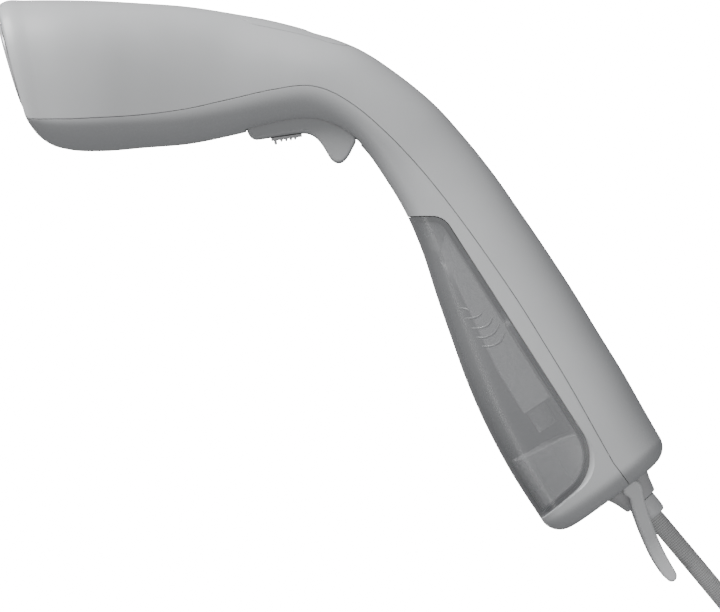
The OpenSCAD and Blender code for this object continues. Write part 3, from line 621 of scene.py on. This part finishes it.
def braid(name, light, weave_shade):
    """Woven sleeve: two sets of strands that cross over each other round the cord; its low spots take the darker
    colour, as painted shade in the hollows between strands.
    """
    m = finish(name, light, 0.85, grain=2600, grain_depth=0.25, tone=0.05, spec=0.25)
    nodes, links = m.node_tree.nodes, m.node_tree.links
    shader = nodes["Principled BSDF"]
    where = nodes.new("ShaderNodeUVMap")
    split = nodes.new("ShaderNodeSeparateXYZ")
    links.new(where.outputs["UV"], split.inputs["Vector"])

    def math(operation, a, b=None):
        n = nodes.new("ShaderNodeMath")
        n.operation = operation
        for i, value in enumerate((a, b)):
            if value is None:
                continue
            if isinstance(value, (int, float)):
                n.inputs[i].default_value = value
            else:
                links.new(value, n.inputs[i])
        return n.outputs[0]

    strands = 15
    round_it = math("MULTIPLY", split.outputs["X"], 2 * pi * strands)
    along = math("MULTIPLY", split.outputs["Y"], 2 * pi * strands / 30)
    left = math("SINE", math("ADD", round_it, along))
    right = math("SINE", math("SUBTRACT", round_it, along))
    product = math("MULTIPLY", left, right)
    height = math("MULTIPLY", math("ADD", product, 1.0), 0.5)
    bump = nodes.new("ShaderNodeBump")
    bump.inputs["Strength"].default_value = 0.8
    bump.inputs["Distance"].default_value = 0.0003
    links.new(height, bump.inputs["Height"])
    fine = next(n for n in nodes if n.type == "BUMP" and n != bump)
    links.new(fine.outputs["Normal"], bump.inputs["Normal"])
    links.new(bump.outputs["Normal"], shader.inputs["Normal"])
    # Painted shade: the weave's hollows get the darker colour and its crowns the lighter one, following the bump
    # height.
    mix = nodes.new("ShaderNodeMix")
    mix.data_type = "RGBA"
    mix.inputs["A"].default_value = (*weave_shade, 1)
    mix.inputs["B"].default_value = (*light, 1)
    links.new(height, mix.inputs["Factor"])
    links.new(mix.outputs["Result"], shader.inputs["Base Color"])
    return m


GREY = (0.36, 0.365, 0.37)
M = {
    "shell_plastic": finish("shell_plastic", GREY, 0.42, soft_edge=0.35, grain_depth=0.035, tone=0.015),
    "trim_plastic": finish("trim_plastic", (0.31, 0.315, 0.32), 0.45, soft_edge=0.3, tone=0.02),
    # Painted light: this grey is lighter than the casing's to make up for the shade that the loop and the strain relief
    # lie in.
    "loop_plastic": finish("loop_plastic", (0.54, 0.545, 0.55), 0.4, soft_edge=0.5, tone=0.02),
    "dark_plastic": finish("dark_plastic", (0.13, 0.133, 0.137), 0.45, soft_edge=0.2, tone=0.04),
    # Painted light: this grey is lighter than the collar's own dark plastic, to make up for the shade it lies in; the
    # trigger lock uses it too.
    "collar_painted_light_plastic": finish("collar_painted_light_plastic", (0.42, 0.42, 0.425), 0.45, tone=0.03),
    "inner_plastic": finish("inner_plastic", (0.5, 0.5, 0.51), 0.5, tone=0.03),
    "black_plastic": finish("black_plastic", (0.02, 0.02, 0.022), 0.5, tone=0.08),
    "pale_plastic": finish("pale_plastic", (0.6, 0.59, 0.55), 0.5, tone=0.03),
    "tank_plastic": smoky("tank_plastic", (0.16, 0.162, 0.166), 0.28, 0.62, 1.0),
    "lens_plastic": finish("lens_plastic", (0.7, 0.72, 0.74), 0.3, tone=0.02),
    "coated_plate": finish("coated_plate", (0.4, 0.4, 0.41), 0.3, metal=0.2, tone=0.03, grain_depth=0.02),
    "cast_aluminium": finish("cast_aluminium", (0.6, 0.6, 0.61), 0.42, metal=1, tone=0.06, grain=900, grain_depth=0.15),
    "steel": finish("steel", (0.5, 0.5, 0.5), 0.3, metal=1, brushed=True, tone=0.08),
    "brass": finish("brass", (0.62, 0.44, 0.18), 0.3, metal=1, brushed=True, tone=0.06),
    "pin_metal": finish("pin_metal", (0.68, 0.67, 0.65), 0.18, metal=1, brushed=True, tone=0.05),
    "black_rubber": finish("black_rubber", (0.016, 0.016, 0.018), 0.75, tone=0.12, grain=900, grain_depth=0.15),
    "plug_rubber": finish("plug_rubber", (0.22, 0.224, 0.23), 0.6, tone=0.03, soft_edge=0.4),
    "hose_plastic": finish("hose_plastic", (0.6, 0.57, 0.5), 0.4, tone=0.03),
    "wire_plastic": finish("wire_plastic", (0.22, 0.1, 0.05), 0.4, tone=0.05),
    "board": finish("board", (0.02, 0.1, 0.045), 0.4, tone=0.15, grain=500),
    # Braided cord: light strands, with painted shade in the hollows between them.
    "cord_fabric": braid("cord_fabric", (0.6, 0.6, 0.6), (0.25, 0.25, 0.25)),
}
INSIDE = dict.fromkeys(("tank_valve", "tank_floor", "intake_filter"), "inner_plastic")
SLOT = {s["node"]: s["material_slot"] for s in frame["record"]["subparts"]}
for name, node in frame["nodes"].items():
    node.data.materials.clear()
    node.data.materials.append(M[INSIDE.get(name, SLOT[name])])
    smooth(node, 30)


def placed(piece, slot, body, *nodes, angle=32, look=None):
    """Gives a piece its finish and body, and lets it stand for its CAD nodes."""
    piece.data.materials.clear()
    piece.data.materials.append(M[look or slot])
    smooth(piece, angle)
    if not piece.data.uv_layers:
        even_normals(piece)
    if nodes:
        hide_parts(*nodes)
    if body:
        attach(piece, body)
    return piece


# ---- Cord, coil and plug ----

CORD_R = 4.0
LEAD = 112.0
COIL_TURN = 58.0
COIL_INNER = 34.0
OUT = heading(GLAND_ANGLE)
SIDE = turned(OUT, -90)
LEAD_ROUTE = [(0, 38), (10, 38), (20, 37.6), (30, 36.2), (40, 33.4), (50, 29), (60, 23.4), (70, 17.4), (80, 11.8),
              (90, 7.6), (100, 5), (106, 4.3), (112, 4)]
lead_points = [(*(GLAND_AT + OUT * s), z) for s, z in LEAD_ROUTE]
coil_centre = GLAND_AT + OUT * LEAD + SIDE * COIL_TURN
coil_leave = vec(coil_centre[0], coil_centre[1] - COIL_TURN, 12)
PLUG_START = 53.0
TAIL = [(8, 0.4, 0), (0, 0, 0), (-10, 0.9, 0.7), (-20, 3.6, 2.4), (-30, 7.2, 4.4), (-42, 10.4, 5.8),
        (-PLUG_START, 11, 6)]


def ease(t):
    t = min(1, max(0, t))
    return t * t * (3 - 2 * t)


def coil_points():
    """In along the bottom layer, up at the inside, and out along the top layer."""
    layer, climb = 3.0, 130 / 360
    total = 2 * layer + climb
    points = []
    count = int(total * 48)
    for k in range(1, count):
        turn = total * k / count
        if turn < layer:
            r, z = COIL_TURN - 8 * turn, 4.0
        elif turn < layer + climb:
            r, z = COIL_INNER, 4 + 8 * ease((turn - layer) / climb)
        else:
            r, z = COIL_INNER + 8 * (turn - layer - climb), 12.0
        a = radians(40) - 2 * pi * turn
        points.append((coil_centre[0] + r * cos(a), coil_centre[1] + r * sin(a), z))
    return points


tail_points = [tuple(coil_leave + vec(*p)) for p in TAIL[1:]]
cord_path = curve_through(lead_points, 4) + [vec(*p) for p in coil_points()] + curve_through(tail_points, 4)
cord = tube("braided_cord", cord_path, CORD_R, 20, ref=(-SIDE[0], -SIDE[1], 0))
placed(cord, "cord_fabric", "housing", "power_cord", "cord_coil", "plug_lead", angle=60)

# ---- Casing ----

seam_points = []
for row in smooth_rows(4, LAST, 3):
    seam_points.append(seam_of(row) + unit(front_of(row) - seam_of(row)) * 0.9)
SEAM = [vec(-160, 72.6), vec(-125, 72.5)] + seam_points[1:-1] + [vec(124.4, -83.2), vec(132, -93.2)]


def shifted_line(line, d):
    pts = np.array(line)
    t = np.gradient(pts, axis=0)
    t /= np.linalg.norm(t, axis=1)[:, None]
    return [p + d * vec(-q[1], q[0]) for p, q in zip(pts, t)]


SEAM_GAP = 0.22
BACK_SIDE = shifted_line(SEAM, SEAM_GAP / 2) + [vec(190, -92.7), vec(190, 150), vec(-165, 150)]
FRONT_SIDE = shifted_line(SEAM, -SEAM_GAP / 2) + [vec(130, -160), vec(-60, -160), vec(-165, 20)]
TANK_TOP = 31.9
TANK = (
    [vec(0, TANK_TOP)]
    + arc_corner((0, TANK_TOP), (45.1, TANK_TOP), (112.8, -74.2), 9.5, 16)
    + arc_corner((45.1, TANK_TOP), (112.8, -74.2), (78, -105.9), 20, 24)
    + [vec(78, -105.9), vec(30, -105.9), vec(0, -60)]
)
TRIGGER_SLOT = [(-39.6, 50), (-39.6, 78), (4, 78), (9.8, 72), (9.8, 50)]
SCREWS = [(4, 15), (96, 24)]
LOW, HIGH = -40.0, 120.0
ARM_IN, ARM_OUT = 11.2, 13.8
LOOP_PIVOT = GLAND_AT + OUT * -16.2


def plate_outline(grow, n=128):
    points = []
    for k in range(n):
        wide, deep = superellipse(2.8, 2 * pi * k / n)
        points.append((-1 + deep * (20 + grow), wide * (33 + grow)))
    return points


def superellipse(n, a):
    r = (abs(cos(a)) ** n + abs(sin(a)) ** n) ** (-1 / n)
    return r * cos(a), r * sin(a)


def panel_outline(shrink, n=24):
    points = []
    for side in (1, -1):
        for k in range(n + 1):
            a = -pi / 2 + pi * k / n if side > 0 else pi / 2 + pi * k / n
            points.append((side * 15.2 + (11.8 - shrink) * cos(a), (11.8 - shrink) * sin(a)))
    return points


def panel_block(name, shrink, low, high):
    turn = IN_PANEL @ Matrix.Rotation(-pi / 2, 4, "X")
    return prism(name, panel_outline(shrink), low, high, turn)


def face_opening(name):
    return cross_slab(name, plate_outline(1.7), -6, 14, IN_HEAD)


def gland_hole(name):
    hole = cylinder(name, 7.2, -40, -4, IN_GLAND, "z")
    joined(hole, cylinder("b", 9.6, -34, -25, IN_GLAND, "z"), cylinder("b", 11.4, -19.1, -7.1, IN_GLAND, "z"))
    swing_room = ARM_OUT + 0.4
    return joined(hole, cylinder("b", 4.9, MID - swing_room, MID + swing_room, Matrix.Identity(4), "z", LOOP_PIVOT))


form = body_form("form")
hollow = body_hollow("hollow", 2.2)

upper = copied(form, "upper_casing")
combine(upper, hollow, "DIFFERENCE", keep=True)
common(upper, prism("a", BACK_SIDE, LOW, HIGH))
cut(upper, face_opening("a"), panel_block("a", -0.3, -12, 12), gland_hole("a"))
placed(upper, "shell_plastic", "housing", "upper_shell")

lower = copied(form, "lower_casing")
common(lower, prism("a", FRONT_SIDE, LOW, HIGH))
bay = prism("bay", [p for p in grown(TANK, 2)], LOW, HIGH)
inside = copied(hollow, "inside")
cut(inside, common(bay, block("a", (-100, -200, -200), (400, TANK_TOP - 0.6, 200), Matrix.Identity(4))))
cut(lower, inside, prism("a", grown(TANK, -0.05), LOW, HIGH))
half_slot = 17.2 / 2
cut(lower, prism("a", TRIGGER_SLOT, MID - half_slot, MID + half_slot), face_opening("a"), gland_hole("a"))
for u, side in SCREWS:
    for s in (-1, 1):
        cut(lower, cylinder("a", 3.1, -1, 2.6, IN_GRIP, "y", (u, s * side)))
cut(lower, cylinder("a", 3.8, -1, 4, IN_GRIP, "y", (14, 0)))


def surface_over(tree, x, y):
    hit = tree.ray_cast(Vector((x * MM, y * MM, 0.3)), Vector((0, 0, -1)))[0]
    return None if hit is None else hit.z / MM


form_tree = BVHTree.FromObject(form, bpy.context.evaluated_depsgraph_get())
corner = arc_corner((45.1, TANK_TOP), (112.8, -74.2), (78, -105.9), 20, 24)
scoop = [vec(100.6, -55.1)] + corner[2:] + [vec(93.5, -91.8)]
scoop_path, scoop_r = [], []
for k, p in enumerate(scoop):
    t = k / (len(scoop) - 1)
    z = surface_over(form_tree, p[0], p[1]) or MID + 30
    r = 0.3 + 2.1 * sin(pi * t) ** 1.2
    scoop_path.append(vec(p[0], p[1], z + r * 0.55))
    scoop_r.append(r)
for flip in (False, True):
    path = [vec(p[0], p[1], 2 * MID - p[2]) for p in scoop_path] if flip else scoop_path
    cut(lower, tube("a", path, scoop_r, 24, ref=(0, 0, 1)))
placed(lower, "shell_plastic", "housing", "lower_shell")

panel = copied(form, "control_plate")
combine(panel, body_hollow("h", 1.8), "DIFFERENCE")
common(panel, panel_block("a", 0.05, -9, 12))
cut(panel, cylinder("a", 6.3, -12, 12, IN_PANEL, "y", (9, 0)), cylinder("a", 1.7, -12, 12, IN_PANEL, "y", (-14, 0)))
placed(panel, "shell_plastic", "housing", "control_panel")

# ---- Water tank ----

TANK_GAP, TANK_WALL = 0.4, 2.2
tank = copied(form, "tank_wall")
common(tank, prism("a", grown(TANK, -TANK_GAP), LOW, HIGH))
tank_hollow = copied(hollow, "tank_hollow")
common(tank_hollow, prism("a", grown(TANK, -TANK_GAP - TANK_WALL), LOW, HIGH))
cut(tank, tank_hollow)
joined(tank, cylinder("a", 13.6, -9.5, -1.5, IN_GRIP, "y", (52, 0)))
cut(
    tank,
    cylinder("a", 11.6, -4.5, 4, IN_GRIP, "y", (52, 0)),
    cylinder("a", 8.8, -12.5, 4, IN_GRIP, "y", (52, 0)),
    cylinder("a", 6.7, -4.5, 4, IN_GRIP, "y", (14, 0)),
)
tank_tree = BVHTree.FromObject(tank, bpy.context.evaluated_depsgraph_get())
placed(tank, "tank_plastic", "tank_body", "water_tank")
tank.visible_shadow = False

duct = prism("pipe_channel", [(-1, -3.2), (82, -3.2), (82.3, -16.2), (62, -15.9), (4.7, -9)], -15.2, 15.2, IN_GRIP)
cut(duct, prism("a", [(0.8, -2), (80.8, -2), (81.1, -14.95), (62.1, -14.7), (5.3, -7.9)], -14, 14, IN_GRIP))
tip = [(35.2, 28.8), (40.5, 28.8), (44, 26.7), (46, 24.3), (44.4, 16.9), (40.2, 16.9)]
joined(duct, edged(tip, MID - 7, MID + 7, 0.5, "a", None, 3), cylinder("a", 6.6, -11.5, -0.7, IN_GRIP, "y", (14, 0)))
cut(duct, cylinder("a", 3.1, -8.5, 4, IN_GRIP, "y", (14, 0), 32), cylinder("a", 1.2, 14, 23, IN_GRIP, "x", (-7, 0), 24),
    cylinder("a", 2.05, 78, 85, IN_GRIP, "x", (-10.5, 0), 32))
placed(duct, "dark_plastic", "tank_body", "tank_valve", look="inner_plastic")

RIB_ROUTES = [
    [(51.5, -7.5), (54, -7.6), (56.2, -8.6)],
    [(54.1, -11.7), (57.1, -11.7), (59.6, -11), (61.4, -9.6)],
    [(56.6, -15.9), (60.8, -15.9), (64.2, -14.3), (66, -11)],
    [(58.7, -19.7), (62.7, -19.9), (66.6, -17.8), (68.8, -13.9)],
    [(61.1, -23.6), (65.4, -23.5), (69, -21.6), (70.8, -18)],
]
ribs = None
for route in RIB_ROUTES:
    flat = curve_through(route, 8)
    for side in (1, -1):
        path, radii = [], []
        for k, p in enumerate(flat):
            z = surface_over(tank_tree, p[0], p[1]) - MID - 0.25
            path.append(vec(p[0], p[1], MID + side * z))
            radii.append(0.15 + 0.4 * sin(pi * (k + 0.5) / len(flat)) ** 0.5)
        rib = tube("grip_ribs", path, radii, 10)
        ribs = rib if ribs is None else joined(ribs, rib)
ribs.name = "grip_ribs"
placed(ribs, "tank_plastic", "tank_body", angle=60)
ribs.visible_shadow = False

drop(form, hollow)

# ---- Steam plate, button, lens ----

FACE_TURN = IN_HEAD @ Matrix(((0, 0, 1, 0), (1, 0, 0, 0), (0, 1, 0, 0), (0, 0, 0, 1)))
plate = edged(plate_outline(0), 0, 4.4, 1.3, "steam_plate_face", FACE_TURN, 5)
groove = edged(plate_outline(-5), -1, 0.35, 0.3, "a", FACE_TURN, 3)
cut(groove, edged(plate_outline(-6.2), -2, 2, 0.2, "b", FACE_TURN, 3))
cut(plate, groove)
HOLES = [(11 - 1.2 * k * k, 10.5 * k) for k in range(-2, 3)] + [(-12 + 1.2 * k * k, 10.5 * k) for k in range(-2, 3)]
HOLES += [(-0.5, 16 * k) for k in range(-1, 2)]
for hole in HOLES:
    cut(plate, cylinder("a", 1.3, -1, 6, IN_HEAD, "x", hole, 24))
placed(plate, "coated_plate", "housing", "steam_plate")

UP_PANEL = IN_PANEL @ Matrix.Translation((9, 0, 0)) @ Matrix.Rotation(-pi / 2, 4, "X")
BUTTON = [(0, -5.4), (7.3, -5.4), (7.3, -4.3), (5.95, -4.3), (5.95, -0.5), (4.2, -0.62), (2, -0.78), (0, -0.82)]
button = ring(rounded(BUTTON, 0.35), "button_top", UP_PANEL)
placed(button, "trim_plastic", "button_body", "power_button")
LENS = [(0, -6), (1.55, -6), (1.55, -0.7), (1.1, -0.45), (0, -0.35)]
UP_LENS = IN_PANEL @ Matrix.Translation((-14, 0, 0)) @ Matrix.Rotation(-pi / 2, 4, "X")
lens = ring(rounded(LENS, 0.2), "lens_window", UP_LENS, 36)
placed(lens, "lens_plastic", "housing", "indicator_lens")

# ---- Trigger and its lock ----

TRIGGER = [(-39, 69.3), (-38.6, 67.4), (-37.3, 65.8), (-35, 65.05), (-30, 65.75), (-25, 66.5), (-20, 67.2),
           (-16, 67.7), (-13.5, 67.65), (-11, 66.75), (-8.4, 64.7), (-5.9, 61.2), (-3.7, 57.5), (-1.9, 55.6),
           (0.2, 54.9), (2.3, 55.6), (4.4, 57.9), (6.1, 61), (7.6, 64.2), (7.3, 66.2), (5.4, 69.3), (2, 72.4),
           (-3, 75), (-9, 76.2), (-15, 76.35), (-22, 75.6), (-30, 74.2), (-35.5, 73), (-38.2, 71.4)]
trigger = edged(curve_through(TRIGGER, 5, closed=True), MID - 8, MID + 8, 1.2, "trigger_body_shape", None, 6)
PIVOT = (-33, 74.6)
flat_z = Matrix.Identity(4)
joined(trigger, cylinder("a", 3.1, MID - 5, MID + 5, flat_z, "z", PIVOT),
       block("a", (-36, 70, MID - 4.9), (-30, 74.6, MID + 4.9), flat_z))
IN_LOCK = local_frame((-28.8, 65.6), 8.2)
cut(
    trigger,
    cylinder("a", 1.55, MID - 10, MID + 10, flat_z, "z", PIVOT),
    block("a", (-3.4, -1, -1.8), (5, 20, 1.8), IN_LOCK),
    cylinder("a", 4.6, MID - 1.8, MID + 1.8, flat_z, "z", PIVOT),
)
placed(trigger, "trim_plastic", "trigger_body", "trigger")

lock = edged([(0, -1.1), (13.3, -1.1), (13.3, -0.05), (0, -0.05)], -5, 5, 0.12, "lock_slider", IN_LOCK, 2)
tall = [(1.05, -0.6), (1.05, -2.4), (1.25, -2.8), (1.65, -2.95), (2.05, -2.8), (2.25, -2.4), (2.25, -0.6)]
joined(lock, edged(tall, -5, 5, 0.3, "a", IN_LOCK, 3), block("a", (1.5, -0.35, -1.5), (4.5, 3, 1.5), IN_LOCK))
for x in (4.3, 6.4, 8.4, 10.3):
    tooth = [(x - 0.75, -0.9), (x - 0.45, -1.85), (x - 0.15, -2.1), (x + 0.15, -2.0), (x + 0.75, -0.9)]
    joined(lock, edged(tooth, -4.6, 4.6, 0.2, "a", IN_LOCK, 2))
placed(lock, "dark_plastic", "lock_body", "trigger_lock", look="collar_painted_light_plastic")

# ---- Cord exit and hanging loop ----

COLLAR = [(5.6, -27), (9.2, -27), (9.2, -25.4), (6.9, -25.4), (6.9, -18.8), (11, -18.8), (10.1, -17), (9.3, -15),
          (8.7, -13), (8.2, -11.2), (7.8, -9.9), (7.3, -9.4), (5.6, -9.4)]
collar = ring(rounded(COLLAR, 0.5), "collar_ring", IN_GLAND, 96)
stub_shafts = cylinder("a", 1.9, -12.5, 12.5, IN_GLAND, "x", (0, -16.2))
joined(collar, cut(stub_shafts, cylinder("b", 6.5, -30, 0, IN_GLAND, "z")))
# The collar takes a grey that is painted lighter to make up for the shade it lies in.
placed(collar, "dark_plastic", "housing", "gland_collar", look="collar_painted_light_plastic")
RELIEF = [(4.05, -30), (7, -30), (7, -27.1), (5.5, -27.1), (5.5, -9.2), (6.3, -9.2), (6.25, -5), (6.05, -1.9),
          (5.3, -0.8), (4.05, -0.8)]
relief = ring(rounded(RELIEF, 0.45), "relief_sleeve", IN_GLAND, 96)
# The sleeve takes the loop's grey, painted lighter to make up for the shade it lies in.
placed(relief, "trim_plastic", "housing", "strain_relief", look="loop_plastic")

LEFT_EDGE = [(124.6, -88.7), (125.5, -92.2), (126.8, -96.1), (128.7, -101.3), (131.4, -107.9), (134.8, -115),
             (138.1, -120.3), (140.4, -123.2), (141.8, -124.3), (143.4, -124.3), (144.6, -123.3),
             (144.9, -121.7), (144.4, -120.1)]
RIGHT_EDGE = [(141.8, -115.6), (138.9, -110.1), (136.3, -104.2), (133.8, -98), (131.7, -91.6), (130.5, -87),
              (130.2, -84.6), (129.3, -82.4), (127.4, -81.1), (125, -81), (122.9, -82.2), (121.8, -84.4),
              (122.3, -86.8)]
loop_outline = curve_through(LEFT_EDGE + RIGHT_EDGE, 6, closed=True)
loop = edged(loop_outline, MID - ARM_OUT, MID + ARM_OUT, 0.9, "loop_bail", None, 5)
gap = [(118, -80), (118, -95), (129.5, -114), (136.6, -119.9), (142.8, -117.3), (146, -112), (134, -78)]
cut(loop, edged(gap, MID - ARM_IN, MID + ARM_IN, 0.8, "a", None, 4),
    cylinder("a", 1.95, MID - 12.7, MID + 12.7, flat_z, "z", LOOP_PIVOT))
# The loop's grey is painted lighter to make up for the shade it lies in.
placed(loop, "loop_plastic", "loop_body", "hanging_loop")

# ---- Plug and tie ----

IN_PLUG = Matrix.Translation((coil_leave[0] - PLUG_START, coil_leave[1] + 11, 18)) @ Matrix.Rotation(-pi / 2, 4, "Y")
PLUG = [(0, 0), (5.4, 0), (5.9, 1.2)]
for k in range(5):
    z = 3.2 + 4.1 * k
    r = 6 + 0.1 * (z - 2)
    PLUG += [(r, z), (r - 0.9, z + 0.5), (r - 0.9, z + 1.7), (r + 0.2, z + 2.2)]
PLUG += [(8.4, 24), (12, 26), (16, 33.8), (18, 39), (18, 46), (17.3, 47), (17.3, 49), (18, 50), (17.3, 51),
         (17.3, 53), (18, 54), (17.3, 55), (17.3, 57), (18, 58), (18, 66), (16.2, 68), (0, 68)]
plug = ring(rounded(PLUG, 0.8), "plug_shape", IN_PLUG, 96)
for side in (-1, 1):
    cut(plug, cylinder("a", 1.9, 56, 69, IN_PLUG, "z", (0, 9.5 * side), 40))
placed(plug, "plug_rubber", "housing", "plug_body")
PIN = [(0, -12), (1.85, -12), (1.85, 0.15), (2.4, 0.15), (2.4, 17.2), (2.25, 18.1), (1.8, 18.7), (1.1, 19), (0, 19)]
left_pin, right_pin = (
    ring(rounded(PIN, 0.2), "plug_pin", IN_PLUG @ Matrix.Translation((0, 9.5 * side, 68)), 48) for side in (-1, 1)
)
pins = joined(left_pin, right_pin)
pins.name = "plug_pin_pair"
placed(pins, "pin_metal", "housing", "plug_pins")

TIE_TURN = (Matrix.Translation((coil_centre[0], coil_centre[1], 0))
            @ Matrix.Rotation(radians(150), 4, "Z") @ Matrix.Rotation(pi / 2, 4, "X"))
inner, outer = COIL_INNER - CORD_R, COIL_TURN + CORD_R


def strap_outline(grow):
    low, high = 1.02 - grow, 16 + grow
    box = [(inner - grow, low), (outer + grow, low), (outer + grow, high), (inner - grow, high)]
    points = []
    for k in range(4):
        points += arc_corner(box[k - 1], box[k], box[(k + 1) % 4], 2.5 + grow, 8)
    return points


tie = edged(strap_outline(1), -6, 6, 0.35, "tie_strap", TIE_TURN, 3)
cut(tie, prism("a", strap_outline(0.05), -8, 8, TIE_TURN))
joined(tie, edged(arc_corner((inner + 6, 17), (inner + 6, 17.9), (inner + 9, 17.9), 0.5, 4)
                  + arc_corner((inner + 6, 17.9), (inner + 22, 17.9), (inner + 22, 17), 0.5, 4)
                  + [vec(inner + 22, 16.5), vec(inner + 6, 16.5)], -5.2, 5.2, 0.2, "a", TIE_TURN, 2))
placed(tie, "black_rubber", "housing", "cord_tie")

# ---- Floor and light ----


def floor():
    m = bpy.data.materials.new("floor_white")
    m.use_nodes = True
    nodes, links = m.node_tree.nodes, m.node_tree.links
    shader = nodes["Principled BSDF"]
    shader.inputs["Base Color"].default_value = (0.9, 0.9, 0.9, 1)
    shader.inputs["Roughness"].default_value = 0.9
    shader.inputs["Specular IOR Level"].default_value = 0.0
    shader.inputs["Emission Color"].default_value = (1, 1, 1, 1)
    path = nodes.new("ShaderNodeLightPath")
    glow = nodes.new("ShaderNodeMapRange")
    glow.inputs["To Min"].default_value = 17.0
    glow.inputs["To Max"].default_value = 0.25
    links.new(path.outputs["Transparent Depth"], glow.inputs["Value"])
    links.new(glow.outputs["Result"], shader.inputs["Emission Strength"])
    n, size = 24, 6.0
    points = [((i / n - 0.5) * size, (j / n - 0.5) * size, 0) for j in range(n + 1) for i in range(n + 1)]
    faces = [(j * (n + 1) + i, j * (n + 1) + i + 1, (j + 1) * (n + 1) + i + 1, (j + 1) * (n + 1) + i)
             for j in range(n) for i in range(n)]
    mesh = bpy.data.meshes.new("floor")
    mesh.from_pydata(points, [], faces)
    mesh.materials.append(m)
    plane = bpy.data.objects.new("floor", mesh)
    bpy.context.collection.objects.link(plane)
    plane.visible_diffuse = False
    plane.visible_glossy = False


def area_light(name, at, target, size, power, colour=(1, 1, 1)):
    data = bpy.data.lights.new(name, "AREA")
    data.shape = "RECTANGLE"
    data.size, data.size_y = size
    data.energy = power
    data.color = colour
    lamp = bpy.data.objects.new(name, data)
    lamp.location = at
    lamp.rotation_euler = (Vector(target) - Vector(at)).to_track_quat("-Z", "Y").to_euler()
    bpy.context.collection.objects.link(lamp)


floor()
area_light("key", (-0.9, 1.3, 0.66), (0, 0, 0.04), (1.0, 1.0), 73)
area_light("top", (0.5, -0.3, 1.5), (0.05, -0.03, 0.04), (1.2, 1.2), 9.5)
area_light("rim", (-1.2, -0.55, 0.14), (0, 0, 0.04), (1.2, 0.3), 3.5)
world = bpy.data.worlds.new("studio")
world.use_nodes = True
world.node_tree.nodes["Background"].inputs["Color"].default_value = (0.95, 0.97, 1, 1)
world.node_tree.nodes["Background"].inputs["Strength"].default_value = 0.27
bpy.context.scene.world = world
